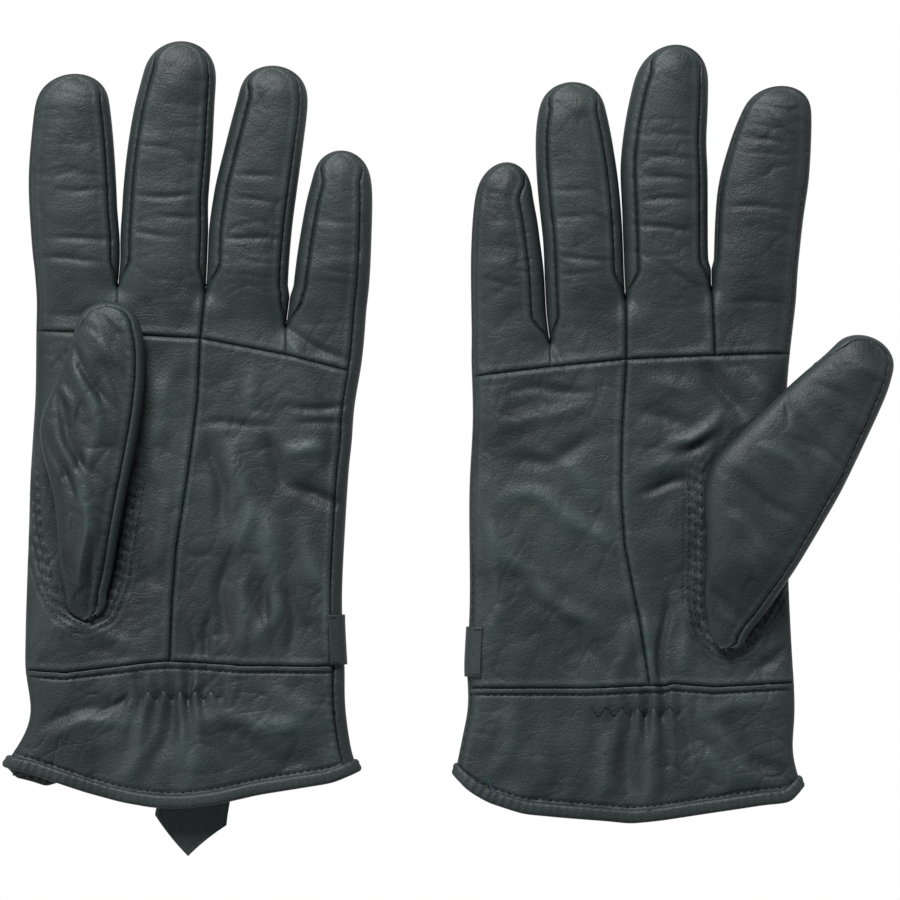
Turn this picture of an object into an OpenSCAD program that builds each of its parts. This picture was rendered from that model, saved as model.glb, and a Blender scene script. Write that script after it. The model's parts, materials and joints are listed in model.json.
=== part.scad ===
// A pair of leather dress gloves, men's size 9, lying palm up on a flat surface with the fingers
// towards +Y. The left glove lies at -X with its thumb folded over the palm, the right glove at +X
// with its thumb spread. Millimetres, +Z up, the surface at Z = 0.

/* [Leather] */
// Thickness of the leather panels
leather = 1.4; // [1.2:0.1:1.6]
// Thickness of the fleece lining
lining = 0.6; // [0.4:0.1:0.8]
// Height of a finger, from its back to its front
finger_height = 14; // [13:0.5:16]
// Height of the hand, from its back to the palm
hand_height = 12; // [12:0.5:13]
// Height of a thumb
thumb_height = 11; // [10:0.5:12]

/* [Motion] */
// Room left between neighbouring fingers
finger_gap = 1.0; // [0.8:0.1:1.4]
// How far a finger bends towards the palm, in degrees
finger_bend = 80; // [60:5:80]
// Room between a thumb and the palm below it
thumb_clearance = 0.4; // [0.3:0.1:0.8]
// How far the spread thumb droops towards the surface, in degrees
thumb_droop = 5; // [0:1:6]

/* [Cuff] */
// Room below the back of the wrist, where the strap lies
strap_room = 3.2; // [3:0.1:4]
// Width of the band that binds the hem
hem_band = 3; // [2:0.5:4]

/* [Strap] */
// Straight distance from the strap's rivet to its point
strap_chord = 83.4; // [80:0.2:86]
// Turn of the contour-cut strap from its rivet to its point, in degrees
strap_turn = 60.6; // [50:0.2:66]
// Width of the strap at its rivet
strap_root_width = 17; // [15:0.5:18]
// Width of the strap before its point
strap_end_width = 24; // [20:0.5:26]
// Thickness of the strap
strap_leather = 0.8; // [0.6:0.1:0.8]
// Radius of the rivet that the strap turns on
rivet_r = 2; // [1.5:0.1:2.5]

/* [Hidden] */
$fn = 48;
eps = 0.01;
FINGERS = ["index", "middle", "ring", "little"];
GLOVES = ["left", "right"];
FINGER_PARTS = ["front", "back", "fourchettes", "lining"];
THUMB_PARTS = ["front", "back", "lining"];
HAND_PARTS = ["palm_thumb_side", "palm_outer_side", "back_panel", "hand_lining", "cuff_front", "cuff_back",
              "hem_binding", "wrist_elastic", "side_tab", "press_studs", "strap"];

leather_colour = [0.13, 0.15, 0.15];
back_colour = [0.17, 0.19, 0.19];
edge_colour = [0.08, 0.09, 0.09];
fleece_colour = [0.35, 0.36, 0.36];
elastic_colour = [0.05, 0.05, 0.05];
stud_colour = [0.25, 0.24, 0.22];

// A finger is [stations, tip, knuckle]: stations are [x, y, width] from the fork upwards, the tip is
// the highest point, and the knuckle is the Y of the line that the finger bends about.
finger_data = [
    [   // left glove, palm up: index to little
        [[[-122, 49, 28.4], [-123, 65.5, 29.5], [-124, 87.5, 30], [-124, 104.5, 27.7],
          [-124, 114, 25.5]], [-123, 124], 61.5],
        [[[-94, 50, 28.2], [-93.7, 74, 29], [-93, 86, 29.4], [-91.7, 100, 29], [-90.3, 113, 27.4],
          [-88.6, 123, 25.4]], [-88, 134.8], 61.5],
        [[[-66.3, 50, 27], [-65, 71, 27.7], [-63.7, 84, 28.4], [-61, 98.5, 26.9],
          [-58.6, 111, 25.3], [-57.6, 117, 23.8]], [-58, 126.7], 60],
        [[[-40, 38, 26], [-38.4, 55, 26], [-37.3, 67.5, 25], [-35.7, 83, 22.6],
          [-35, 89, 20.3]], [-35.3, 98.8], 49]
    ],
    [   // right glove, palm up: index to little
        [[[101.3, 48, 28.2], [101.9, 64, 29.2], [102.9, 77.5, 30.2], [104.4, 89, 30.6],
          [107, 104, 27], [108.5, 111, 24]], [110.2, 120], 61.5],
        [[[72.5, 48, 27.9], [71.8, 74, 29], [71.3, 91, 29.9], [71.4, 101, 28.7], [72.4, 111, 27.7],
          [73.5, 120, 25.9]], [75.4, 133.7], 61.5],
        [[[45.5, 47, 25.7], [44.5, 67.5, 27], [43.2, 84, 28], [41.9, 97.5, 27],
          [41.2, 106.5, 25.2], [41, 112, 23]], [41.2, 121.3], 58],
        [[[20, 34, 25.3], [19.5, 54, 24.9], [19.2, 64, 24.3], [18.8, 75.5, 22.4],
          [18.4, 83, 20]], [19.5, 95], 43]
    ]
];
// Forks between the fingers, from index/middle to ring/little
fork_data = [
    [[-109, 53.6], [-80, 52], [-53.5, 40.4]],
    [[87, 52.6], [58.6, 49.7], [33.7, 35]]
];
// Edges of the hand from the cuff seam up to the finger roots
thumb_edge_data = [
    [[-139.6, -73], [-139.3, -56.6], [-138.6, -35], [-138, -11.7], [-137, 5], [-136.2, 18.6], [-136, 38.8]],
    [[114.2, -78], [113.4, -66], [112.4, -45], [111.6, -20], [111.8, 0], [112, 21], [114.2, 42.4]]
];
outer_edge_data = [
    [[-34, -73], [-35, -50.7], [-33.9, -25], [-32.6, -5], [-31.7, 1.8], [-31, 13.4], [-28.5, 28], [-27.5, 38]],
    [[6.6, -78], [6.2, -72], [7.2, -50], [7, -15], [8.2, 8.7], [7.8, 26], [7.6, 34]]
];
// Centre seam of the palm, from the middle/ring fork down to the cuff seam
centre_seam_data = [
    [[-80, 52], [-81.8, 36], [-82.4, 16], [-85.5, -8.3], [-89.3, -31.8], [-90.8, -50], [-91.7, -73]],
    [[58.6, 49.7], [59, 30], [57.4, 5], [57, -13.7], [58.2, -31.8], [63, -56.6], [66.3, -78]]
];
// Cuff below its seam: the thumb side edge and the outer edge downwards, then the hem between them
cuff_thumb_data = [
    [[-139.6, -73], [-138, -82], [-137.6, -88], [-140, -95], [-143.6, -100.5], [-146.6, -105]],
    [[114.2, -78], [114.4, -88], [113.6, -99], [114.9, -106], [116.9, -112]]
];
cuff_outer_data = [
    [[-34, -73], [-34, -84], [-32.7, -95], [-31.2, -102.5], [-29.2, -106.5]],
    [[6.6, -78], [6.6, -86], [5.2, -93], [3.6, -101], [2.1, -108]]
];
hem_data = [
    [[-146.6, -105], [-138, -107], [-129, -110], [-119.5, -113.2], [-108, -116.4], [-97, -118.3], [-87, -118.6],
     [-76, -117.2], [-63, -114.2], [-50.5, -112.2], [-38, -110.2], [-29.2, -106.5]],
    [[116.9, -112], [113, -116.6], [104, -117.4], [95, -118.8], [83, -120.6], [70, -122.6], [60, -123.6],
     [53, -122.8], [38, -121.6], [24.7, -120.4], [13, -116.6], [6, -112.4], [2.1, -108]]
];
// A thumb is [base, direction, stations, tip, swing pivot]: the stations are [across, along, width] in its
// own frame, which stands on the base and is turned by the direction.
thumb_data = [
    [[-119, -53], 0,
     [[0, 0, 7], [0.1, 6, 14], [0.2, 15, 18], [1.5, 35, 22.6], [1.2, 59, 32.6], [5, 75, 29],
      [7.2, 87, 24.6], [7.6, 92, 21.6]], [7.5, 101.3], [-119, -45]],
    [[93, -63], -25.4,
     [[-1.5, 0, 8], [-4.2, 7, 18.3], [-7.2, 27, 30.6], [-9.9, 39, 38.8], [-10.3, 50, 41.6], [-8.2, 61, 39],
      [-3.7, 84, 30.3], [-1.2, 96, 24.6], [-0.6, 101, 21.6]], [-0.1, 109.8], [93, -54]]
];
droop_data = [0, thumb_droop];
// The hand passes from the palm into the thumb through an oval: [centre, half width, half length, turn]
thumb_oval_data = [
    [[-118, -20], 8, 24, 0],
    [[98, -22], 11, 22, -16]
];
// Rivet of the strap, direction in which the strap leaves it, and the way it curves
strap_data = [
    [[-44, -63], 209.4, 1],
    [[17, -67], 30.3, -1]
];
// Short elastic across the wrist: [left, right, bottom, top]
elastic_data = [[-102, -75, -83, -79], [48, 93, -89.6, -85.4]];
// Rows of the press stud that the strap closes on: where it sits under the back of the wrist
closing_stud_data = [[-122, -62.4], [94, -65.6]];

knuckle_z = 8;
bend_half = finger_bend / 2 + 1;
slit = 0.5;
root_depth = 12;
wall_top = hand_height - leather;
lining_play = 0.2;
back_rise = [-36, -26];
strap_z = 0.8;
tab_z = [1.9, strap_room - 0.1];
flap_reach = 4.5;
rivet_clearance = 0.3;

function glove_no(glove) = glove == "left" ? 0 : 1;
function finger_no(finger) = search([finger], FINGERS)[0];
function finger_of(glove, finger) = finger_data[glove_no(glove)][finger_no(finger)];

// Smooth curve through a list of points
function spline_at(a, b, c, d, t) =
    0.5 * (2 * b + (c - a) * t + (2 * a - 5 * b + 4 * c - d) * t * t + (3 * b - a - 3 * c + d) * t * t * t);
function smooth(pts, steps = 3) = let (n = len(pts)) [
    for (i = [0 : n - 2]) for (k = [0 : steps - 1])
        spline_at(pts[max(i - 1, 0)], pts[i], pts[i + 1], pts[min(i + 2, n - 1)], k / steps),
    pts[n - 1]
];
function reversed(pts) = [for (i = [len(pts) - 1 : -1 : 0]) pts[i]];

// Outline of a finger or a thumb, drawn in by inset, with a round tip over its last station
function tube_outline(stations, tip, inset, gap) = let (
    s = smooth(stations),
    last = s[len(s) - 1],
    half = (last[2] - gap) / 2 - inset,
    rise = tip.y - last.y - inset
) concat(
    [for (p = s) [p.x + (p[2] - gap) / 2 - inset, p.y]],
    [for (a = [15 : 15 : 165]) [last.x + (tip.x - last.x) * sin(a) + half * cos(a), last.y + rise * sin(a)]],
    [for (p = reversed(s)) [p.x - (p[2] - gap) / 2 + inset, p.y]]
);
function finger_outline(glove, finger, inset) =
    let (f = finger_of(glove, finger)) tube_outline(f[0], f[1], inset, finger_gap);
function x_at(f, y, side) = let (s = smooth(f[0]))
    lookup(y, [for (p = s) [p.y, p.x]]) + side * (lookup(y, [for (p = s) [p.y, p[2]]]) - finger_gap) / 2;

// Solid of a profile in Y and Z, across both gloves
module across(profile) {
    translate([-160, 0, 0]) rotate([90, 0, 90]) linear_extrude(320) polygon(profile);
}
// Everything that a finger leaves free below its knuckle line, with the notch it bends into
module below_knuckle(f) {
    k = f[2] + slit;
    across([[k - 60, -1], [k, -1], [k, knuckle_z], [k + 12 * tan(bend_half), knuckle_z + 12],
            [k - 60, knuckle_z + 12]]);
}
// The same notch on the hand's side of the knuckle line, as wide as that finger
module above_knuckle(glove, finger) {
    f = finger_of(glove, finger);
    k = f[2] - slit;
    left = x_at(f, f[2], -1) - 1;
    intersection() {
        across([[k, -1], [k, knuckle_z], [k - 12 * tan(bend_half), knuckle_z + 12], [k + 30, knuckle_z + 12],
                [k + 30, -1]]);
        translate([left, k - 30, -1]) cube([x_at(f, f[2], 1) + 1 - left, 60, 30]);
    }
}
module slab(outline, z0, z1) {
    translate([0, 0, z0]) linear_extrude(z1 - z0) polygon(outline);
}
// The part of a 2D shape that is within its sides by inset, measured across the glove
module drawn_in(inset) {
    intersection() {
        translate([inset, 0]) children();
        translate([-inset, 0]) children();
    }
}

// ---- Fingers ----
module finger_front(glove, finger) {
    difference() {
        slab(finger_outline(glove, finger, 0), finger_height - leather, finger_height);
        below_knuckle(finger_of(glove, finger));
    }
}
module finger_back(glove, finger) {
    difference() {
        slab(finger_outline(glove, finger, 0), 0, leather);
        below_knuckle(finger_of(glove, finger));
    }
}
module finger_fourchettes(glove, finger) {
    f = finger_of(glove, finger);
    difference() {
        slab(finger_outline(glove, finger, 0), leather, finger_height - leather);
        slab(finger_outline(glove, finger, leather), 0, finger_height);
        below_knuckle(f);
        translate([f[1].x - 0.15, f[1].y - 5, 0]) cube([0.3, 10, finger_height]);
    }
}
module finger_lining(glove, finger) {
    inner = finger_outline(glove, finger, leather + lining_play);
    difference() {
        union() {
            slab(inner, leather, leather + lining);
            slab(inner, finger_height - leather - lining, finger_height - leather);
        }
        below_knuckle(finger_of(glove, finger));
    }
}

// ---- Thumbs ----
function thumb_outline(t, inset) = let (half = t[2][0][2] / 2 - inset) concat(
    tube_outline(t[2], t[3], inset, 0),
    [for (a = [195 : 30 : 345]) [t[2][0].x + half * cos(a), t[2][0].y + half * sin(a)]]
);
// Places what is drawn in the thumb's own frame, with the thumb's underside at Z = 0, over the palm
module placed_thumb(glove) {
    n = glove_no(glove);
    t = thumb_data[n];
    droop = droop_data[n];
    pivot = t[4];
    reach = n == 0 ? 0 : thumb_edge_data[1][0].x + 0.4 - pivot.x;
    floor_z = hand_height + thumb_clearance + reach * tan(droop);
    translate([pivot.x, pivot.y, floor_z]) rotate([0, droop, 0]) translate([-pivot.x, -pivot.y, 0])
        translate([t[0].x, t[0].y, 0]) rotate([0, 0, t[1]]) children();
}
module thumb_hole(glove, z0, z1) {
    n = glove_no(glove);
    o = thumb_oval_data[n];
    translate([o[0].x, o[0].y, z0]) rotate([0, 0, o[3]]) linear_extrude(z1 - z0)
        polygon([for (a = [0 : 15 : 345]) [o[1] * cos(a), o[2] * sin(a)]]);
}
module thumb_front(glove) {
    t = thumb_data[glove_no(glove)];
    placed_thumb(glove) slab(thumb_outline(t, 0), thumb_height - leather, thumb_height);
}
module thumb_back(glove) {
    t = thumb_data[glove_no(glove)];
    difference() {
        placed_thumb(glove) difference() {
            slab(thumb_outline(t, 0), 0, thumb_height - leather);
            slab(thumb_outline(t, leather), leather, thumb_height);
        }
        thumb_hole(glove, hand_height, hand_height + 8);
    }
}
module thumb_lining(glove) {
    t = thumb_data[glove_no(glove)];
    inner = thumb_outline(t, leather + lining_play);
    difference() {
        placed_thumb(glove) {
            slab(inner, leather, leather + lining);
            slab(inner, thumb_height - leather - lining, thumb_height - leather);
        }
        thumb_hole(glove, hand_height, hand_height + 8);
    }
}

// ---- Hand ----
module hand_outline(glove) {
    n = glove_no(glove);
    index = finger_of(glove, "index");
    little = finger_of(glove, "little");
    thumb_way = n == 0 ? -1 : 1;
    polygon(concat(smooth(thumb_edge_data[n]), [[x_at(index, index[0][0].y, thumb_way), index[0][0].y]],
        fork_data[n], [[x_at(little, little[0][0].y, -thumb_way), little[0][0].y]],
        reversed(smooth(outer_edge_data[n]))));
}
// The short tubes between the forks and the knuckle lines
module roots_outline(glove) {
    for (finger = FINGERS) {
        f = finger_of(glove, finger);
        low = f[0][0].y - (finger == "middle" || finger == "ring" ? root_depth : 0);
        polygon([[x_at(f, low, -1), low], [x_at(f, low, 1), low], [x_at(f, f[2], 1), f[2] + 4],
                 [x_at(f, f[2], -1), f[2] + 4]]);
    }
}
module hand_with_roots(glove) {
    hand_outline(glove);
    roots_outline(glove);
}
// One side of the centre seam: the thumb side or the outer side
module seam_side(glove, thumb_side) {
    n = glove_no(glove);
    far = (n == 0) == thumb_side ? -200 : 200;
    seam = smooth(centre_seam_data[n]);
    polygon(concat([[far, 90], [seam[0].x, 90]], seam, [[seam[len(seam) - 1].x, -90], [far, -90]]));
}
// The hand's space between its underside, raised over the strap, and a height above it
module hand_layer(low, high) {
    across([[-140, strap_room + low], [back_rise[0], strap_room + low], [back_rise[1], low], [100, low],
            [100, high], [-140, high]]);
}
module back_layer(low, high) {
    across([[-140, strap_room + low], [back_rise[0], strap_room + low], [back_rise[1], low], [100, low],
            [100, high], [back_rise[1], high], [back_rise[0], strap_room + high], [-140, strap_room + high]]);
}
module palm(glove, thumb_side) {
    difference() {
        intersection() {
            union() {
                translate([0, 0, wall_top]) linear_extrude(leather) hand_with_roots(glove);
                linear_extrude(wall_top) difference() {
                    hand_with_roots(glove);
                    drawn_in(leather) hand_with_roots(glove);
                }
            }
            hand_layer(leather, hand_height);
            linear_extrude(hand_height) seam_side(glove, thumb_side);
        }
        for (finger = FINGERS) above_knuckle(glove, finger);
        thumb_hole(glove, wall_top - eps, hand_height + 1);
    }
}
module back_panel(glove) {
    difference() {
        intersection() {
            linear_extrude(hand_height) hand_with_roots(glove);
            back_layer(0, leather);
        }
        for (finger = FINGERS) above_knuckle(glove, finger);
    }
}
module hand_lining(glove) {
    inner = leather + lining_play;
    difference() {
        union() {
            translate([0, 0, wall_top - lining]) linear_extrude(lining) drawn_in(inner) hand_outline(glove);
            intersection() {
                linear_extrude(hand_height) drawn_in(inner) hand_outline(glove);
                back_layer(leather, leather + lining);
            }
        }
        thumb_hole(glove, wall_top - lining - eps, hand_height);
    }
}

// ---- Cuff ----
module cuff_outline(glove, rise) {
    n = glove_no(glove);
    polygon(concat(smooth(cuff_outer_data[n]), [for (p = reversed(smooth(hem_data[n]))) p + [0, rise]],
        reversed(smooth(cuff_thumb_data[n]))));
}
module above_hem(glove, rise) {
    n = glove_no(glove);
    hem = [for (p = smooth(hem_data[n])) p + [0, rise]];
    polygon(concat([[hem[0].x, 0], [hem[0].x - sign(hem[3].x - hem[0].x) * 20, 0],
        [hem[0].x - sign(hem[3].x - hem[0].x) * 20, hem[0].y]], hem,
        [[hem[len(hem) - 1].x + sign(hem[3].x - hem[0].x) * 20, hem[len(hem) - 1].y],
         [hem[len(hem) - 1].x + sign(hem[3].x - hem[0].x) * 20, 0]]));
}
module cuff_shape(glove) {
    intersection() {
        cuff_outline(glove, 0);
        above_hem(glove, hem_band);
    }
}
// The space between the side walls of the cuff, open at the hem
module cuff_inside(glove) {
    n = glove_no(glove);
    out = n == 0 ? leather : -leather;
    outer = [for (p = smooth(cuff_outer_data[n])) p - [out, 0]];
    thumb = [for (p = smooth(cuff_thumb_data[n])) p + [out, 0]];
    polygon(concat([[outer[0].x, -50]], outer, [outer[len(outer) - 1] - [0, 30]],
        [thumb[len(thumb) - 1] - [0, 30]], reversed(thumb), [[thumb[0].x, -50]]));
}
module cuff_front(glove) {
    translate([0, 0, wall_top]) linear_extrude(leather) cuff_shape(glove);
    translate([0, 0, strap_room + leather]) linear_extrude(wall_top - strap_room - leather) difference() {
        cuff_shape(glove);
        cuff_inside(glove);
    }
}
module cuff_back(glove) {
    translate([0, 0, strap_room]) linear_extrude(leather) cuff_shape(glove);
}
module hem_binding(glove) {
    roll = 0.3;
    for (z = [strap_room, wall_top - roll])
        translate([0, 0, z]) linear_extrude(leather + roll) difference() {
            cuff_outline(glove, 0);
            above_hem(glove, hem_band);
        }
}
module wrist_elastic(glove) {
    e = elastic_data[glove_no(glove)];
    translate([e[0], e[2], wall_top - lining]) cube([e[1] - e[0], e[3] - e[2], lining]);
}

// ---- Closing strap ----
function left_of(heading) = [-sin(heading), cos(heading)];
function strap_line(s, data) = let (
    turn = data[2] * strap_turn,
    radius = data[2] * strap_chord / (2 * sin(strap_turn / 2))
) data[0] + radius * (left_of(data[1]) - left_of(data[1] + turn * s));
module strap_outline(data) {
    length = strap_chord / (2 * sin(strap_turn / 2)) * strap_turn * PI / 180;
    shoulder = 1 - strap_end_width / 2 / length;
    steps = 14;
    function edge(side) = [for (i = [1 : steps]) let (
        s = shoulder * i / steps,
        half = (strap_root_width + (strap_end_width - strap_root_width) * s / shoulder) / 2
    ) strap_line(s, data) + side * half * left_of(data[1] + data[2] * strap_turn * s)];
    polygon(concat(edge(1), [strap_line(1, data)], reversed(edge(-1)),
        [for (a = [0 : 15 : 180])
            data[0] + strap_root_width / 2 * [cos(data[1] - 90 - a), sin(data[1] - 90 - a)]]));
}
module strap(glove) {
    data = strap_data[glove_no(glove)];
    translate([0, 0, strap_z]) difference() {
        linear_extrude(strap_leather) strap_outline(data);
        translate([data[0].x, data[0].y, -1]) cylinder(r = rivet_r + rivet_clearance, h = 3);
    }
}
// Tab sewn into the outer side seam: a flap on the palm, a strip round the side and a pad under the back
module side_tab(glove) {
    n = glove_no(glove);
    rivet = strap_data[n][0];
    out = n == 0 ? 1 : -1;
    edge = n == 0 ? -34 : 6.1;
    thick = 1;
    low = rivet.y - strap_root_width / 2;
    module strip(from, to, z0, z1) {
        translate([min(from, to), low, z0]) cube([abs(to - from), strap_root_width, z1 - z0]);
    }
    difference() {
        union() {
            translate([rivet.x, rivet.y, tab_z[0]]) cylinder(r = strap_root_width / 2, h = tab_z[1] - tab_z[0]);
            strip(rivet.x, edge + out * (thick + 0.3), tab_z[0], tab_z[1]);
        }
        translate([rivet.x, rivet.y, 0]) cylinder(r = rivet_r, h = 5);
    }
    strip(edge + out * 0.3, edge + out * (thick + 0.3), tab_z[1], hand_height + thick);
    strip(edge - out * flap_reach, edge + out * 0.3, hand_height, hand_height + thick);
}
// The rivet of the strap with its cap, and the stud that the strap closes on
module press_studs(glove) {
    n = glove_no(glove);
    rivet = strap_data[n][0];
    stud = closing_stud_data[n];
    cap = 0.4;
    translate([rivet.x, rivet.y, 0.1]) cylinder(r = 2 * rivet_r, h = cap);
    translate([rivet.x, rivet.y, 0.1 + cap]) cylinder(r = rivet_r, h = tab_z[1] - cap - 0.1);
    translate([stud.x, stud.y, tab_z[0] + 0.1]) cylinder(r = 3, h = strap_room - tab_z[0] - 0.1);
}

module finger_part(glove, finger, kind) {
    if (kind == "front") color(leather_colour) finger_front(glove, finger);
    if (kind == "back") color(back_colour) finger_back(glove, finger);
    if (kind == "fourchettes") color(leather_colour) finger_fourchettes(glove, finger);
    if (kind == "lining") color(fleece_colour) finger_lining(glove, finger);
}

for (g = GLOVES) {
    for (f = FINGERS) for (p = FINGER_PARTS)
        finger_part(g, f, p);
    color(leather_colour) thumb_front(g);
    color(back_colour) thumb_back(g);
    color(fleece_colour) thumb_lining(g);
    color(leather_colour) palm(g, true);
    color(leather_colour) palm(g, false);
    color(back_colour) back_panel(g);
    color(fleece_colour) hand_lining(g);
    color(leather_colour) cuff_front(g);
    color(back_colour) cuff_back(g);
    color(edge_colour) hem_binding(g);
    color(elastic_colour) wrist_elastic(g);
    color(leather_colour) side_tab(g);
    color(stud_colour) press_studs(g);
    color(leather_colour) strap(g);
}
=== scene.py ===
import json
import math

import bmesh
import bpy
import numpy as np
from mathutils import Matrix, Vector
from mathutils.kdtree import KDTree


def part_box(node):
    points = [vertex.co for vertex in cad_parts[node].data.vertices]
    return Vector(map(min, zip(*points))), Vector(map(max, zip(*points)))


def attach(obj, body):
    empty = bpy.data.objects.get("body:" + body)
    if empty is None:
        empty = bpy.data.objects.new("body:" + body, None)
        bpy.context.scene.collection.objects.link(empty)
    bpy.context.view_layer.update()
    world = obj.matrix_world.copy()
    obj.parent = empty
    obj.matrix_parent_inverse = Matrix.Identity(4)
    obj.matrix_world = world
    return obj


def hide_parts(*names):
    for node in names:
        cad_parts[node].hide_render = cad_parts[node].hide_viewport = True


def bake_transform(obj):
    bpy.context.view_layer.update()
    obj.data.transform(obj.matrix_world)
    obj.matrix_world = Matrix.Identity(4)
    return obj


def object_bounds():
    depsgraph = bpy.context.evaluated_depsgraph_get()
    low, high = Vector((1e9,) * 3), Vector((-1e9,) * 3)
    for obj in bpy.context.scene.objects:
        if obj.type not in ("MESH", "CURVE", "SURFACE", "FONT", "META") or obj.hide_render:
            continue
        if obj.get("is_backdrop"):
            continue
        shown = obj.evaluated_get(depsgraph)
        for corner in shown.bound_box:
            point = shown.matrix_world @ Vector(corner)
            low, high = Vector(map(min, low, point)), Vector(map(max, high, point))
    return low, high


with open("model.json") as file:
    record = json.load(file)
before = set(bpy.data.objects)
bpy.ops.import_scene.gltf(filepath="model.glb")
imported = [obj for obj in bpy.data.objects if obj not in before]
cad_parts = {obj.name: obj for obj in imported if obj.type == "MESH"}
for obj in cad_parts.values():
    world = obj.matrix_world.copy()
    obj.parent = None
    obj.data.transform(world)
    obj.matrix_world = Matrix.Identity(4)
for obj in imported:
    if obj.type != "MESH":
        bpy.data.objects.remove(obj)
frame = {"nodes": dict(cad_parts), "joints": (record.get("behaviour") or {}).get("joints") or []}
cad_box = [list(map(float, corner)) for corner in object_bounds()]
MM = 0.001


# ---- Table, light and camera ----
# The pair lies on a lit white table under two big soft lamps, and is seen from straight above
# through a long lens. Everything below is in millimetres until a mesh is made.

VIEW_WIDTH = 297.0
CAMERA_HEIGHT = 1600.0
CAMERA_AT = (0.66, -0.5)
SEEN_LEVEL = 7.0

white = bpy.data.materials.new("table_white")
white.use_nodes = True
white_shader = white.node_tree.nodes["Principled BSDF"]
white_shader.inputs["Base Color"].default_value = (0.0, 0.0, 0.0, 1)
white_shader.inputs["Specular IOR Level"].default_value = 0.0
white_shader.inputs["Emission Color"].default_value = (1, 1, 1, 1)
white_shader.inputs["Emission Strength"].default_value = 1.0

bm = bmesh.new()
bmesh.ops.create_grid(bm, x_segments=2, y_segments=2, size=3.0)
bmesh.ops.translate(bm, verts=bm.verts, vec=(0, 0, -0.0004))
table_mesh = bpy.data.meshes.new("table")
bm.to_mesh(table_mesh)
bm.free()
table = bpy.data.objects.new("table", table_mesh)
bpy.context.collection.objects.link(table)
table_mesh.materials.append(white)
table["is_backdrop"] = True

camera_data = bpy.data.cameras.new("camera")
camera_data.sensor_width = 36.0
camera_data.lens = camera_data.sensor_width * (CAMERA_HEIGHT - SEEN_LEVEL) / VIEW_WIDTH
camera_data.clip_end = 20.0
camera = bpy.data.objects.new("camera", camera_data)
camera.location = (CAMERA_AT[0] * MM, CAMERA_AT[1] * MM, CAMERA_HEIGHT * MM)
bpy.context.collection.objects.link(camera)
bpy.context.scene.camera = camera

# name, place in metres, size, power in watts
LAMPS = [("top_lamp", (-0.30, 0.92, 0.85), 0.5, 33.0),
         ("side_lamp", (1.1, 0.1, 0.75), 0.5, 3.0),
         ("front_lamp", (-0.95, -0.45, 0.8), 0.6, 6.0)]
for name, place, size, power in LAMPS:
    lamp_data = bpy.data.lights.new(name, "AREA")
    lamp_data.shape = "SQUARE"
    lamp_data.size = size
    lamp_data.energy = power
    lamp = bpy.data.objects.new(name, lamp_data)
    lamp.location = place
    lamp.rotation_euler = (-Vector(place)).to_track_quat("-Z", "Y").to_euler()
    bpy.context.collection.objects.link(lamp)

world = bpy.data.worlds.new("studio")
bpy.context.scene.world = world
world.use_nodes = True
world.node_tree.nodes["Background"].inputs["Color"].default_value = (1, 1, 1, 1)
world.node_tree.nodes["Background"].inputs["Strength"].default_value = 0.16
bpy.context.scene.view_settings.view_transform = "Standard"


# ---- Glove leather ----
# Sheep nappa, drum-dyed a green-grey near black. It has a fine pebbled grain with pores and a soft sheen from
# the finish.
# Its colour is painted paler on the crests of its wrinkles and beside its seams (painted highlight), and
# darker in hollows, fine creases and seams (painted shade).


class Value:
    """A shader value. Arithmetic on it adds Math nodes, and node() adds any other node."""

    def __init__(self, socket):
        self.socket = socket
        self.tree = socket.id_data

    def node(self, kind, sockets=None, output=0, **settings):
        made = self.tree.nodes.new(kind)
        for key, setting in settings.items():
            setattr(made, key, setting)
        for key, value in (sockets or {}).items():
            if isinstance(value, Value):
                self.tree.links.new(value.socket, made.inputs[key])
            else:
                made.inputs[key].default_value = value
        return Value(made.outputs[output])

    def maths(self, operation, first, second=0.0):
        return self.node("ShaderNodeMath", {0: first, 1: second}, operation=operation)

    def __add__(self, other):
        return self.maths("ADD", self, other)

    def __radd__(self, other):
        return self.maths("ADD", other, self)

    def __sub__(self, other):
        return self.maths("SUBTRACT", self, other)

    def __rsub__(self, other):
        return self.maths("SUBTRACT", other, self)

    def __mul__(self, other):
        return self.maths("MULTIPLY", self, other)

    def __rmul__(self, other):
        return self.maths("MULTIPLY", other, self)

    def __pow__(self, other):
        return self.maths("POWER", self, other)

    def ramp(self, low, high):
        return self.node("ShaderNodeMapRange", {"Value": self, "From Min": low, "From Max": high})

    def mix(self, dark, light):
        return self.node("ShaderNodeMix", {"Factor": self, 6: dark, 7: light}, output=2, data_type="RGBA")

    def feed(self, socket):
        self.tree.links.new(self.socket, socket)


def new_material(name, roughness, specular=0.5, sheen=0.0, coat=0.0, metallic=0.0):
    material = bpy.data.materials.new(name)
    material.use_nodes = True
    shader = material.node_tree.nodes["Principled BSDF"]
    shader.inputs["Roughness"].default_value = roughness
    shader.inputs["Specular IOR Level"].default_value = specular
    shader.inputs["Sheen Weight"].default_value = sheen
    shader.inputs["Sheen Roughness"].default_value = 0.4
    shader.inputs["Coat Weight"].default_value = coat
    shader.inputs["Coat Roughness"].default_value = 0.35
    shader.inputs["Metallic"].default_value = metallic
    place = Value(material.node_tree.nodes.new("ShaderNodeTexCoord").outputs["Object"])
    return material, shader, place


def colour(*rgb):
    return (*rgb, 1.0)


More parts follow.
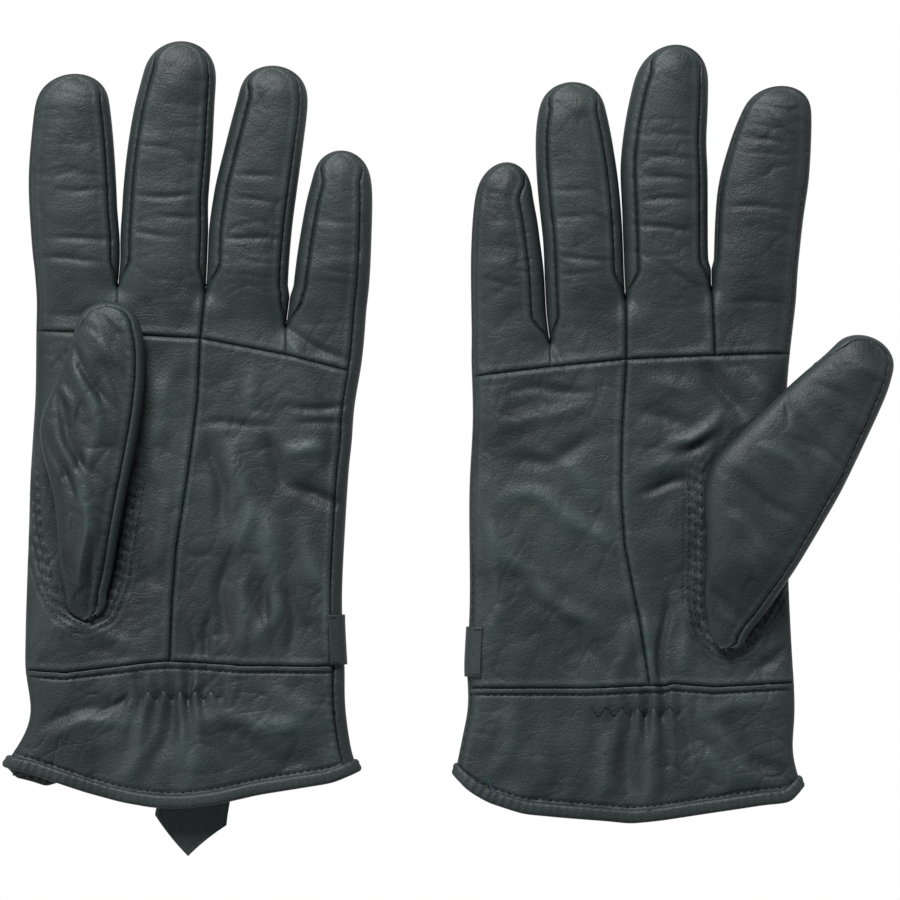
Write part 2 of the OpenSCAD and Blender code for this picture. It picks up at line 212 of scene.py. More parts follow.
def leather(name, dark, light, grain_size=0.7):
    material, shader, place = new_material(name, 0.45, specular=0.34)
    painted_light_and_tone = place.node("ShaderNodeAttribute", output=2, attribute_name="painted_light_and_tone")
    cells = 1000.0 / grain_size
    pebble = place.node("ShaderNodeTexVoronoi", {"Vector": place, "Scale": cells}, feature="SMOOTH_F1")
    fine = place.node("ShaderNodeTexNoise", {"Vector": place, "Scale": 3.1 * cells, "Detail": 3.0})
    # Fine creases, drawn out across the hand, in patches where the leather bends
    drawn = place.node("ShaderNodeMapping", {"Vector": place, "Scale": (42.0, 120.0, 60.0)})
    creases = place.node("ShaderNodeTexNoise",
                         {"Vector": drawn, "Scale": 1.0, "Detail": 3.0, "Roughness": 0.45})
    folded = place.node("ShaderNodeTexNoise", {"Vector": place, "Scale": 60.0, "Detail": 1.0}).ramp(0.45, 0.6)
    cloud = place.node("ShaderNodeTexNoise", {"Vector": place, "Scale": 28.0, "Detail": 3.0})
    crease_lines = 1 - (1 - (creases - 0.5).maths("ABSOLUTE", creases - 0.5).ramp(0.0, 0.008)) * folded
    # Base colour: paler where the vertex attribute is high, which carries painted highlights on crests and
    # welts and painted shade in hollows and seams; darker along the fine creases as painted shade; varied at
    # random in tone and by the grain.
    tone = (cloud.ramp(0.3, 0.7) * 0.3 + painted_light_and_tone * 0.75 + fine * 0.12
            - (1 - crease_lines) * 0.10 - pebble * 0.18)
    tone.ramp(0.0, 1.0).mix(dark, light).feed(shader.inputs["Base Color"])
    roughness = 0.44 + pebble * 0.16 + cloud * 0.10 + fine * 0.06 - painted_light_and_tone * 0.05
    roughness.feed(shader.inputs["Roughness"])
    height = (1 - pebble) * 0.95 + fine * 0.15 + crease_lines * 0.55
    height.node("ShaderNodeBump", {"Height": height, "Strength": 0.75, "Distance": 0.00017}).feed(
        shader.inputs["Normal"])
    return material


outer_leather = leather("glove_leather", colour(0.0033, 0.0072, 0.0074), colour(0.0235, 0.0385, 0.0375))
# The side strips get a darker copy of the glove leather: painted shade for strips that turn down the sides of
# the fingers and lie between them.
strip_leather = leather("strip_leather", colour(0.0028, 0.0062, 0.0066), colour(0.0195, 0.0315, 0.0305), 0.6)


# ---- Outline of each glove ----
# A glove is cut from flat panels, so its outline comes first: the edges of the drafted parts,
# sliced across the glove, resampled and eased into the soft curve that sewn leather takes.

FINGER_ORDER = {"left": ["index", "middle", "ring", "little"], "right": ["little", "ring", "middle", "index"]}
THUMB_ON = {"left": -1, "right": 1}
FORKS = {"left": [(-109.0, 53.6), (-80.0, 52.0), (-53.5, 40.4)],
         "right": [(33.7, 35.0), (58.6, 49.7), (87.0, 52.6)]}
STEP = 0.8


def drafted(node):
    """Both ends of every edge of a drafted part, in millimetres."""
    mesh = frame["nodes"][node].data
    places = np.zeros(len(mesh.vertices) * 3)
    mesh.vertices.foreach_get("co", places)
    ends = np.zeros(len(mesh.edges) * 2, int)
    mesh.edges.foreach_get("vertices", ends)
    pairs = (places.reshape(-1, 3) / MM)[ends.reshape(-1, 2)]
    return pairs[:, 0], pairs[:, 1]


def reach(nodes, at, along=1, across=0):
    """Lowest and highest coordinate of some parts on each of the lines at."""
    lows, highs = [], []
    start, end = (np.concatenate(p) for p in zip(*[drafted(n) for n in nodes]))
    for level in at:
        a, b = start[:, along] - level, end[:, along] - level
        cut = a * b < 0
        share = a[cut] / (a[cut] - b[cut])
        hits = start[cut, across] + share * (end[cut, across] - start[cut, across])
        lows.append(hits.min())
        highs.append(hits.max())
    return np.array(lows), np.array(highs)


def resampled(points, count):
    points = np.asarray(points, float)
    gaps = np.linalg.norm(np.diff(points, axis=0), axis=1)
    length = np.concatenate([[0], np.cumsum(gaps)])
    at = np.linspace(0, length[-1], count)
    return np.stack([np.interp(at, length, points[:, k]) for k in range(points.shape[1])], axis=1)


def measure(points):
    return float(np.linalg.norm(np.diff(np.asarray(points, float), axis=0), axis=1).sum())


def eased(points, width=2.6):
    """The polyline resampled every STEP and smoothed, with its ends kept."""
    line = resampled(points, int(measure(points) / STEP) + 2)
    half = int(3 * width / STEP)
    weights = np.exp(-0.5 * (np.arange(-half, half + 1) * STEP / width) ** 2)
    weights /= weights.sum()
    before = 2 * line[0] - line[half:0:-1]
    after = 2 * line[-1] - line[-2:-half - 2:-1]
    padded = np.concatenate([before, line, after])
    return np.stack([np.convolve(padded[:, k], weights, "valid") for k in range(2)], axis=1)


def finger_edges(glove, finger):
    low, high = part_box(f"{glove}_{finger}_back")
    base, tip = low.y / MM + 0.3, high.y / MM
    at = base + (tip - base - 0.05) * np.sin(np.linspace(0, math.pi / 2, 50))
    left, right = reach([f"{glove}_{finger}_back"], at)
    return np.stack([left, at], 1), np.stack([right, at], 1)


# Where each side of the outline starts, at its corner of the hem, the low X side first
HEM_CORNER = {"left": (-104.6, -106.2), "right": (-107.6, -111.6)}


def hand_edge(glove, side):
    """The edge of the hand and cuff on one side, from the hem up to the knuckles."""
    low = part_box(f"{glove}_cuff_back")[0].y / MM
    corner = HEM_CORNER[glove][side > 0]
    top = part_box(f"{glove}_{FINGER_ORDER[glove][0 if side < 0 else 3]}_back")[0].y / MM - 1.5
    at = np.linspace(max(corner, low), top, 60)
    lows, highs = reach([f"{glove}_back_panel", f"{glove}_cuff_back", f"{glove}_hem_binding"], at)
    return np.stack([lows if side < 0 else highs, at], 1)


def ease(value, low, high):
    share = np.clip((np.asarray(value, float) - low) / (high - low), 0, 1)
    return share * share * (3 - 2 * share)


rims = {}
for glove, order in FINGER_ORDER.items():
    for i, finger in enumerate(order):
        left, right = finger_edges(glove, finger)
        start = hand_edge(glove, -1) if i == 0 else np.array([FORKS[glove][i - 1]])
        end = hand_edge(glove, 1)[::-1] if i == 3 else np.array([FORKS[glove][i]])
        rims[glove, finger] = eased(np.concatenate([start, left, right[::-1], end]))

# Above a fork the side strips of two fingers swell until they all but meet: how far up they
# stay full, and where the swelling ends
SWELL = {"left": [(13, 27), (18, 32), (9, 14)], "right": [(20, 36), (20, 36), (6, 10)]}
for glove, order in FINGER_ORDER.items():
    for k, (full, ends) in enumerate(SWELL[glove]):
        fork_y = FORKS[glove][k][1]
        pair = [rims[glove, order[k]], rims[glove, order[k + 1]]]
        plain = [line.copy() for line in pair]
        for line, other, side in ((pair[0], plain[1], 1), (pair[1], plain[0], -1)):
            top, far_top = int(np.argmax(line[:, 1])), int(np.argmax(other[:, 1]))
            own_side = line[top:] if side > 0 else line[:top + 1]
            far_side = other[:far_top + 1] if side > 0 else other[far_top:][::-1]
            y = own_side[:, 1]
            room = (np.interp(y, far_side[:, 1], far_side[:, 0]) - own_side[:, 0]) * side
            share = (1 - ease(y, fork_y + full, fork_y + ends)) * ease(y, fork_y - 0.2, fork_y + 1.2)
            own_side[:, 0] += side * share * np.maximum(room / 2 - 0.05, 0)


# ---- Soft shape of a glove ----
# A lined glove that lies on its back is a low cushion: flat in the middle, round at every edge,
# thinner at the wrist, where the strap lifts its back. Folds and creases come from being worn.

ROUND = 2.3
FINGER_TOP, PALM_TOP, CUFF_TOP = 13.4, 11.4, 11.3
BACK_LOW, WRIST_LOW = 0.25, 3.5
# How far in from its edge the cushion is still round, on the front and underneath
FRONT_RADIUS, UNDER_RADIUS = 10.5, 7.0


def cushion(distance, radius):
    inner = 1 - np.clip(np.asarray(distance, float) / radius, 0, 1)
    return (1 - inner ** ROUND) ** (1 / ROUND)


tables = {}


def cloud(x, y, seed):
    """Smooth noise between -1 and 1, with one bump a unit."""
    if seed not in tables:
        tables[seed] = np.random.RandomState(seed).uniform(-1, 1, (64, 64))
    i, j = np.floor(x).astype(int), np.floor(y).astype(int)
    u, v = ease(x - i, 0, 1), ease(y - j, 0, 1)
    t = tables[seed]
    low = t[i % 64, j % 64] * (1 - u) + t[(i + 1) % 64, j % 64] * u
    high = t[i % 64, (j + 1) % 64] * (1 - u) + t[(i + 1) % 64, (j + 1) % 64] * u
    return low * (1 - v) + high * v


def turned(x, y, degrees):
    c, s = math.cos(math.radians(degrees)), math.sin(math.radians(degrees))
    return c * x + s * y, c * y - s * x


def crease(x, y, seed, long, short, degrees=0.0, sharp=9):
    """Narrow valleys of depth 1 that run along one direction, bending a little."""
    u, v = turned(x, y, degrees)
    v = v + 1.6 * cloud(u / 9.0, v / 9.0, seed + 50)
    return (1 - np.abs(cloud(u / long, v / short, seed))) ** sharp


# Folds as [x, y, x, y, half width, height]: a negative height is a valley
FOLDS = {
    "left": [[-76.8, 4, -75.3, -26, 2.2, -1.0], [-81, 6.9, -57.9, 7.6, 1.5, -0.6],
             [-70, 2, -68, -34, 3.0, 0.9], [-59.4, 6, -51, -12.8, 2.4, -1.2],
             [-51, -12, -33, -21, 2.0, -1.2], [-58, -20, -61, -64, 3.4, 0.9],
             [-52, 14.4, -32, 13.7, 1.4, -0.7], [-50, 7.6, -33, 7.6, 1.4, -0.5],
             [-55.6, -2.2, -39, -2.2, 2.6, 0.9], [-71.9, -36, -74.3, -62, 2.0, -1.0],
             [-58.3, -42, -59.5, -65, 2.2, -0.9], [-77.5, -54, -79, -70, 1.4, -0.9],
             [-86, -60, -81.5, -70, 1.3, -0.8], [-51, -46, -53.5, -68, 1.7, -0.7],
             [-46, -24, -40, -60, 3.2, 0.8], [-66, 26, -56, -4, 3.2, 0.6],
             [-44, 26, -38, -6, 2.8, -0.5], [-66, -40, -66, -66, 2.6, 0.8],
             [-92, 28, -97, -40, 3.2, 0.5], [-132, -58, -100, -66, 2.6, 0.6],
             [-98, 2, -101, -50, 2.4, -0.4], [-54, 39, -33, 30, 1.3, -0.7],
             [-53, 37, -46, 28, 1.6, 0.6], [-134, 46, -112, 45, 1.6, -0.6]],
    "right": [[82, 27, 97, 9, 2.6, -1.3], [73, 2, 90, 10.5, 2.4, 1.2],
              [77.5, -3.5, 87, 5.5, 1.7, -1.1], [63, -15, 79, -11.4, 1.5, -0.9],
              [64, -9, 80, -4, 2.6, 0.6], [71.6, -50, 70.6, -80, 1.2, -1.3],
              [66.5, -52, 68, -78, 2.2, 0.8], [57.3, -57, 54.5, -74, 3.0, 0.8],
              [19, -14, 56, -30, 3.0, 0.7], [22, -5, 50, 4, 2.6, -0.7], [14, -34, 50, -58, 3.4, 0.7],
              [30, -46, 50, -74, 2.6, -0.7], [16, 10, 46, 14, 2.4, 0.5], [66, 24, 82, 20, 2.6, 0.6],
              [95, -68, 108, -56, 2.4, 0.9], [98, -73, 112, -64, 2.2, -0.7],
              [12, -20, 16, -60, 3.0, 0.5], [62, 16, 78, 4, 2.6, -0.6], [76, -50, 78, -74, 2.4, 0.6],
              [83, -66, 90, -76, 1.8, -0.8], [34, 34, 40, 26, 1.2, -0.7], [20, 18, 48, 20, 1.6, -0.4],
              [98, 27, 110, 17, 2.0, 0.6], [30, 4, 48, -18, 3.0, 0.5]],
}


# Creases across the joints of the fingers
FOLDS["left_fingers"] = [
    [-127, 85.3, -109, 85.3, 0.9, -0.5], [-128, 69.7, -108, 69.5, 0.9, -0.6],
    [-136.5, 62.1, -114, 62.4, 1.0, -0.6],
    [-99, 98.9, -87, 97.4, 0.9, -0.5], [-88, 97.4, -82, 91.5, 0.9, -0.5],
    [-103, 83.5, -83, 83.8, 0.9, -0.7],
    [-97, 76.7, -80.5, 76.9, 0.9, -0.6], [-103.5, 71.9, -88, 70, 0.9, -0.5],
    [-70, 91, -56, 89.2, 0.9, -0.5],
    [-70, 83, -56, 80.8, 0.9, -0.5], [-73.5, 68.1, -57, 69.4, 0.9, -0.6],
    [-41.5, 58.1, -30, 58.2, 0.9, -0.4],
    [-50, 40.5, -28.5, 40.7, 0.9, -0.5], [-110, 60, -109.5, 56, 2.4, 0.8],
    [-83.5, 57.5, -83, 53, 2.4, 0.8],
    [-55.5, 48, -55, 43.5, 2.2, 0.7], [-47, 76, -28, 75.5, 1.2, -0.3],
    [-134, 101, -114, 102, 1.4, -0.25]]
FOLDS["right_fingers"] = [
    [33.5, 84.3, 47, 85.6, 0.9, -0.5], [46.5, 85.6, 54.5, 81.3, 0.9, -0.5],
    [36, 76.5, 46, 77, 0.9, -0.5],
    [45, 77, 54.5, 73.2, 0.9, -0.5], [35.5, 63.9, 54.5, 62.1, 0.9, -0.6],
    [36.5, 57.2, 50, 58.2, 0.9, -0.5],
    [63.5, 95.8, 82, 95, 0.9, -0.6], [63.5, 88.3, 82, 88.5, 0.9, -0.6],
    [62.5, 81.5, 81, 81.5, 0.9, -0.7],
    [62.5, 74, 81, 70, 0.9, -0.6], [71, 59.5, 83, 52.5, 1.0, -0.6],
    [63.5, 102.8, 82.5, 102.8, 0.9, -0.3],
    [98, 114.4, 116.5, 111.7, 0.9, -0.5], [104.5, 112, 114.2, 100, 0.9, -0.5],
    [97, 102.2, 111, 101.8, 0.9, -0.5],
    [100, 107, 112, 104, 0.9, -0.4], [90.5, 79.8, 116, 79.8, 1.0, -0.4], [88, 47.8, 114, 47, 1.0, -0.4],
    [8.5, 56.2, 24.8, 52.5, 0.9, -0.4], [7.6, 36.7, 25.5, 36.7, 0.9, -0.5]]


def folds(glove, x, y):
    height = np.zeros_like(x)
    for x0, y0, x1, y1, width, rise in FOLDS[glove]:
        length = math.hypot(x1 - x0, y1 - y0)
        along = ((x - x0) * (x1 - x0) + (y - y0) * (y1 - y0)) / length
        off = ((x - x0) * (y1 - y0) - (y - y0) * (x1 - x0)) / length
        off = off + 0.8 * width * np.sin(along / 9.0 + x0) + 0.3 * width * np.sin(along / 3.7 + y0)
        ends = ease(along, -4, 8) * (1 - ease(along, length - 8, length + 4))
        height += rise * np.exp(-(off / width) ** 2) * ends
    return height


def wrinkles(glove, x, y):
    """Height of the creases and folds on the front of a glove."""
    seed = 11 if glove == "left" else 31
    on_fingers = ease(y, 34, 58)
    patchy = 0.45 + 0.55 * ease(cloud(x / 13.0, y / 17.0, seed + 7), -0.3, 0.5)
    across = crease(x, y, seed, 15.0, 4.2, 4) + 0.7 * crease(x, y, seed + 1, 9.0, 3.0, -8)
    drawn = (crease(x, y, seed + 2, 13.0, 5.0, 62) + 0.9 * crease(x, y, seed + 3, 12.0, 5.5, 118)
             + 0.7 * crease(x, y, seed + 4, 8.0, 3.6, 20))
    swell = 0.42 * cloud(x / 12.0, y / 15.0, seed + 5) + 0.22 * cloud(x / 5.5, y / 6.0, seed + 6)
    fingers = -0.34 * across * patchy + 0.26 * cloud(x / 9.0, y / 6.0, seed + 8)
    fingers = fingers + folds(f"{glove}_fingers", x, y)
    palm = -0.26 * drawn * patchy + 1.1 * swell + 1.3 * folds(glove, x, y)
    return on_fingers * fingers + (1 - on_fingers) * palm


def levels(y):
    """Top, middle and underside of the cushion at a place along the glove."""
    wrist = 1 - ease(y, -42, -24)
    top = PALM_TOP + (FINGER_TOP - PALM_TOP) * ease(y, 40, 62) + (CUFF_TOP - PALM_TOP) * wrist
    low = BACK_LOW + (WRIST_LOW - BACK_LOW) * wrist
    return top, low + (top - low) * 0.46, low


def edge_radius(y):
    return FRONT_RADIUS + 2.5 * ease(y, 38, 60)


def front_level(glove, x, y, distance):
    top, middle, _ = levels(y)
    round_off = cushion(distance, edge_radius(y))
    return middle + (top - middle) * round_off + wrinkles(glove, x, y) * ease(distance, 0.0, 4.0)


def back_level(y, distance):
    _, middle, low = levels(y)
    return middle - (middle - low) * cushion(distance, UNDER_RADIUS)


def finder(lines):
    """A function that gives the distance in plan from places to the nearest of some lines."""
    dense = [resampled(line, int(measure(line) / 0.5) + 2) for line in lines]
    points = np.concatenate(dense)
    following = np.concatenate([np.append(line[1:], line[-1:], axis=0) for line in dense])
    before = np.concatenate([np.append(line[:1], line[:-1], axis=0) for line in dense])
    tree = KDTree(len(points))
    for i, (px, py) in enumerate(points):
        tree.insert((px, py, 0), i)
    tree.balance()

    def distance(x, y):
        place = np.column_stack([x.ravel(), y.ravel()])
        nearest = np.array([tree.find((a, b, 0))[1] for a, b in place])
        best = []
        for other in (following, before):
            side = other[nearest] - points[nearest]
            offset = place - points[nearest]
            share = (offset * side).sum(1) / np.maximum((side * side).sum(1), 1e-9)
            best.append(np.linalg.norm(offset - side * np.clip(share, 0, 1)[:, None], axis=1))
        return np.minimum(*best).reshape(x.shape)
    return distance


# ---- Panels ----
# Every panel is one sheet of leather: a grid laid over its outline, lifted to the cushion, turned
# in where it is sewn, and given the leather's thickness on its flesh side.

SHEET = 1.1
SEAM_DEPTH, SEAM_WIDTH, WELT = 0.5, 0.5, 0.24


def seam_dip(edge_distance, along):
    """A sewn edge turns in, and a low welt with fine puckers stands beside it."""
    dip = -SEAM_DEPTH * np.exp(-(edge_distance / SEAM_WIDTH) ** 2)
    welt = WELT * np.exp(-((edge_distance - 1.5) / 0.8) ** 2)
    pucker = 0.10 * np.sin(along * 2.1) * np.exp(-(edge_distance / 2.2) ** 2)
    return dip + welt + pucker


def inward(line):
    """Unit normals to the right of a line that runs up the left side and down the right."""
    step = np.gradient(line, axis=0)
    step /= np.maximum(np.linalg.norm(step, axis=1, keepdims=True), 1e-9)
    return np.stack([step[:, 1], -step[:, 0]], 1)


def sheet_mesh(name, grid, outward, thickness=SHEET, painted_light_and_tone=None):
    """An object from rows of points, its faces turned to point outward, with the leather's thickness."""
    rows, columns = grid.shape[:2]
    bm = bmesh.new()
    bmesh.ops.create_grid(bm, x_segments=columns - 1, y_segments=rows - 1, size=1.0)
    layer = bm.verts.layers.float.new("painted_light_and_tone")
    for vertex in bm.verts:
        i = round((vertex.co.x + 1) / 2 * (columns - 1))
        j = round((vertex.co.y + 1) / 2 * (rows - 1))
        vertex.co = Vector(grid[j, i]) * MM
        if painted_light_and_tone is not None:
            vertex[layer] = float(painted_light_and_tone[j, i])
    bmesh.ops.remove_doubles(bm, verts=bm.verts, dist=0.00003)
    bm.normal_update()
    total = sum(f.normal.dot(Vector(outward(f.calc_center_median() / MM))) * f.calc_area() for f in bm.faces)
    if total < 0:
        bmesh.ops.reverse_faces(bm, faces=bm.faces)
    return finished(name, bm, thickness)


def finished(name, bm, thickness=0.0, bevel=0.0):
    for face in bm.faces:
        face.smooth = True
    mesh = bpy.data.meshes.new(name)
    bm.to_mesh(mesh)
    bm.free()
    piece = bpy.data.objects.new(name, mesh)
    bpy.context.collection.objects.link(piece)
    if thickness:
        wall = piece.modifiers.new("thickness", "SOLIDIFY")
        wall.thickness = thickness * MM
        wall.offset = -1.0
    if bevel:
        edge = piece.modifiers.new("edge", "BEVEL")
        edge.width = bevel * MM
        edge.segments = 3
    if thickness or bevel:
        ready = piece.evaluated_get(bpy.context.evaluated_depsgraph_get())
        settled = bpy.data.meshes.new_from_object(ready)
        piece.modifiers.clear()
        piece.data = settled
    return piece


def dress(piece, material, body, nodes=(), bend=None):
    """Gives a piece its material and slot, and makes it move with a body; a piece given a bend is left
    unattached, with its place baked into its mesh.
    """
    piece.data.materials.clear()
    piece.data.materials.append(material)
    if bend:
        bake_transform(piece)
    else:
        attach(piece, body)
    if nodes:
        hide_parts(*nodes)


def painted_light_by_height_and_seam(height, edge_distance):
    # Painted light: paler the higher the leather stands (painted highlight on crests, painted shade in
    # hollows), paler on the welt beside a seam (painted highlight), and darker in the seam's groove (painted
    # shade, with some dirt).
    crest = np.clip(height * 0.55 + 0.12, 0, 1)
    beside_seam = 0.28 * np.exp(-((edge_distance - 1.8) / 1.1) ** 2)
    dark_seam = -0.35 * np.exp(-(edge_distance / 0.6) ** 2)
    return np.clip(crest + beside_seam + dark_seam, 0, 1)


# ---- Fingers ----
# Each finger has a front panel and a back panel joined by fourchettes, the strips that run up one
# side, round the tip and down the other. The panels start at the piecing seam across the hand.

PIECING = {"left": [(-136.3, 38.8), (-109.0, 37.6), (-81.5, 36.2), (-53.5, 30.8), (-30.3, 24.9)],
           "right": [(7.6, 23.6), (33.7, 26.8), (58.8, 29.3), (87.0, 30.5), (113.0, 31.3)]}
STRIP_TIP = 1.0
# Width of the fourchette that shows left and right of each finger's front panel
STRIPS = {("left", "index"): (1.0, 2.6), ("left", "middle"): (3.2, 2.2), ("left", "ring"): (4.2, 2.6),
          ("left", "little"): (4.2, 3.9), ("right", "little"): (0.7, 4.8), ("right", "ring"): (3.7, 3.2),
          ("right", "middle"): (4.6, 2.8), ("right", "index"): (0.9, 1.6)}
# Forks that have a seam below them, and where it meets the piecing seam
SEAMED_FORKS = {("left", 1): -81.5, ("right", 1): 58.8, ("right", 2): 88.0}


def knuckle(glove, finger):
    joint = next(j for j in frame["joints"] if j["child"] == f"{glove}_{finger}")
    return np.array(joint["pos_m"]) / MM


# Distance along a finger, behind and ahead of its hinge, of the two places given with its body
HINGE_REACH = 9


def finger_bend(glove, finger):
    """The finger's body, and the places HINGE_REACH behind and ahead of its hinge."""
    joint = knuckle(glove, finger)
    ahead = np.array([0, HINGE_REACH, 0])
    return (f"{glove}_{finger}", tuple((joint - ahead) * MM), tuple((joint + ahead) * MM))


def piecing_y(glove, x):
    return np.interp(x, *zip(*PIECING[glove]))


def on_piecing(glove, below, above):
    """The place where a step of a rim crosses the piecing seam."""
    share = (piecing_y(glove, below[0]) - below[1]) / (above[1] - below[1])
    return np.array([below + (above - below) * share])


def strip_width(glove, order, i, line, fork_left, fork_right):
    """Width of the fourchette at each point of a finger's rim."""
    length = np.concatenate([[0], np.cumsum(np.linalg.norm(np.diff(line, axis=0), axis=1))])
    tip = int(np.argmax(line[:, 1]))
    left, right = STRIPS[glove, order[i]]
    width = np.where(np.arange(len(line)) <= tip, left, right)
    near_tip = 1 - ease(np.abs(length - length[tip]), 8, 17)
    width = width * (1 - near_tip) + STRIP_TIP * near_tip
    if fork_left is not None:
        width = width * ease(length - length[fork_left], 0, 9)
    if fork_right is not None:
        width = width * ease(length[fork_right] - length, 0, 9)
    return width


def side_band(line, normals, width, level_top, level_back, columns=13):
    """Rows of a strip that wraps the edge of the cushion, from its front seam to its back seam."""
    turn = np.linspace(1, -1, columns)
    depth = width[:, None] * turn[None, :] ** 2
    x = line[:, :1] + normals[:, :1] * depth
    y = line[:, 1:] + normals[:, 1:] * depth
    z = np.where(turn[None, :] >= 0, level_top(x, y, depth), level_back(x, y, depth))
    return np.stack([x, y, z], 2)


for glove, order in FINGER_ORDER.items():
    for i, finger in enumerate(order):
        rim = rims[glove, finger]
        own = finder([rim])
        # The finger's part of its rim: from the piecing seam on an outer side, or from the fork
        above = np.where(rim[:, 1] >= piecing_y(glove, rim[:, 0]))[0]
        rim_part = rim[above]
        if i == 0:
            rim_part = np.concatenate([on_piecing(glove, rim[above[0] - 1], rim[above[0]]), rim_part])
        if i == 3:
            rim_part = np.concatenate([rim_part, on_piecing(glove, rim[above[-1] + 1], rim[above[-1]])])
        seams_low = []
        for k, inner in ((i - 1, i > 0), (i, i < 3)):
            fork = np.array(FORKS[glove][k]) if inner else None
            base_x = SEAMED_FORKS.get((glove, k), fork[0]) if inner else 0.0
            base = np.array([base_x, piecing_y(glove, base_x)])
            seams_low.append(None if fork is None
                             else resampled([base, fork], int((fork[1] - base[1]) / STEP) + 2))
        before = np.zeros((0, 2)) if seams_low[0] is None else seams_low[0][:-1]
        after = np.zeros((0, 2)) if seams_low[1] is None else seams_low[1][::-1][1:]
        line = np.concatenate([before, rim_part, after])
        first, last = len(before), len(line) - len(after) - 1
        width = strip_width(glove, order, i, line,
                            first if len(before) else None, last if len(after) else None)
        normals = inward(line)
        tip = int(np.argmax(line[:, 1]))
        bend = finger_bend(glove, finger)
        hand = f"{glove}_hand"

        inner_line = line + normals * width[:, None]
        rows = max(tip, len(line) - tip)
        left_side = resampled(inner_line[:tip + 1], rows)
        right_side = resampled(inner_line[tip:][::-1], rows)
        across = np.linspace(0, 1, 38)[None, :, None]
        plan = left_side[:, None] * (1 - across) + right_side[:, None] * across
        x, y = plan[..., 0], plan[..., 1]
        # The lowest row follows the piecing seam, and the rows above it even out
        y = y + (piecing_y(glove, x[0]) - y[0]) * (1 - ease(np.linspace(0, 1, rows), 0, 0.25))[:, None]
        span = np.linalg.norm(right_side - left_side, axis=1)[:, None]
        joins = []
        for k, share in ((i - 1, across[..., 0]), (i, 1 - across[..., 0])):
            plain = 0 <= k < 3 and (glove, k) not in SEAMED_FORKS
            joins.append(share * span + (6 * ease(FORKS[glove][k][1] - y, 0, 3) if plain else 0))
        edge = np.minimum(*joins)
        edge = np.minimum(edge, y - piecing_y(glove, x))
        edge = np.maximum(edge, 0)
        distance = own(x, y)
        height = wrinkles(glove, x, y)
        z = front_level(glove, x, y, distance) + seam_dip(edge, x + y)
        front = sheet_mesh(f"{glove}_{finger}_front_panel", np.stack([x, y, z], 2), lambda c: (0, 0, 1),
                           painted_light_and_tone=painted_light_by_height_and_seam(height, edge))
        dress(front, outer_leather, hand, [f"{glove}_{finger}_front"], bend)

        z = back_level(y, distance) - np.minimum(seam_dip(edge, x + y), 0.0)
        back = sheet_mesh(f"{glove}_{finger}_back_panel", np.stack([x, y, z], 2), lambda c: (0, 0, -1),
                          painted_light_and_tone=painted_light_by_height_and_seam(height * 0, edge))
        dress(back, outer_leather, hand, [f"{glove}_{finger}_back"], bend)

        strip = slice(first, last + 1)
        band = side_band(line[strip], normals[strip], width[strip],
                         lambda a, b, d: front_level(glove, a, b, d),
                         lambda a, b, d: back_level(b, d))
        turn = np.linspace(1, -1, band.shape[1])
        band_edge = np.minimum(1 - np.abs(turn), 1)[None, :] * width[strip][:, None] * 1.6
        band[..., 2] += np.sign(turn)[None, :] * np.minimum(seam_dip(band_edge, band[..., 1]), 0)
        centre = Vector((*line.mean(0), 7))
        fourchettes = sheet_mesh(f"{glove}_{finger}_side_strips", band, lambda c, m=centre: c - m,
                                 thickness=0.9, painted_light_and_tone=painted_light_by_height_and_seam(band_edge * 0, band_edge))
        dress(fourchettes, strip_leather, hand, [f"{glove}_{finger}_fourchettes"], bend)


# ---- Palm and back of the hand ----
# The palm is two panels with a seam up its middle, and the back is one panel that wraps round the
# outer side to a seam on the palm. The hand passes into the thumb through an oval hole.

CENTRE = {"left": [(-91.7, -73), (-90.8, -50), (-89.3, -31.8), (-85.5, -8.3), (-82.4, 16), (-81.5, 36.2)],
          "right": [(66.3, -78), (63, -56.6), (58.2, -31.8), (57, -13.7), (57.4, 5), (58.8, 29.3)]}
CUFF_SEAM = {"left": [(-139.6, -73.2), (-126, -74), (-109.4, -72), (-99.9, -70.8), (-91.8, -70.2),
                      (-79.9, -70.8), (-67.9, -71.7), (-34, -72)],
             "right": [(6.6, -79.1), (46.6, -79.1), (65.5, -78.3), (71.2, -78.4), (73.7, -77.6),
                       (87.7, -78.7), (114.2, -77.3)]}
OUTER_SEAM = {"left": 3.7, "right": 0.9}
OVAL = {"left": [(-135, 4), (-134.8, -12), (-133.7, -27), (-129.5, -44), (-125.5, -51.5),
                 (-120, -54.8), (-114.5, -52.5), (-111, -44), (-109, -32), (-106.6, -18), (-104, -2),
                 (-106, 6), (-120, 12)],
        "right": [(106, 12), (95, 6.5), (89.5, 0.5), (84, -7.5), (84.6, -16), (84.4, -32),
                  (84.2, -52), (85.5, -58.5), (91, -63), (96, -61.5), (103, -50), (111, -36),
                  (113.5, -20), (112.5, 0)]}
ROW_GAP = 2.1
near_edge = {glove: finder([rims[glove, f] for f in order]) for glove, order in FINGER_ORDER.items()}
near_oval = {glove: finder([points + points[:1]]) for glove, points in OVAL.items()}


def edge_x(glove, side, y):
    line = rims[glove, FINGER_ORDER[glove][0 if side < 0 else 3]]
    tip = int(np.argmax(line[:, 1]))
    half = line[:tip] if side < 0 else line[tip:][::-1]
    return np.interp(y, half[:, 1], half[:, 0])


def centre_x(glove, y):
    points = CENTRE[glove]
    return np.interp(y, [p[1] for p in points], [p[0] for p in points])


def cuff_y(glove, x):
    return np.interp(x, *zip(*CUFF_SEAM[glove]))


def within(points, x, y):
    """True where a place is inside a closed outline."""
    inside = np.zeros(x.shape, bool)
    for (x0, y0), (x1, y1) in zip(points, points[1:] + points[:1]):
        crosses = (y0 > y) != (y1 > y)
        at = x0 + (y - y0) * (x1 - x0) / (y1 - y0 if y1 != y0 else 1e-9)
        inside ^= crosses & (x < at)
    return inside


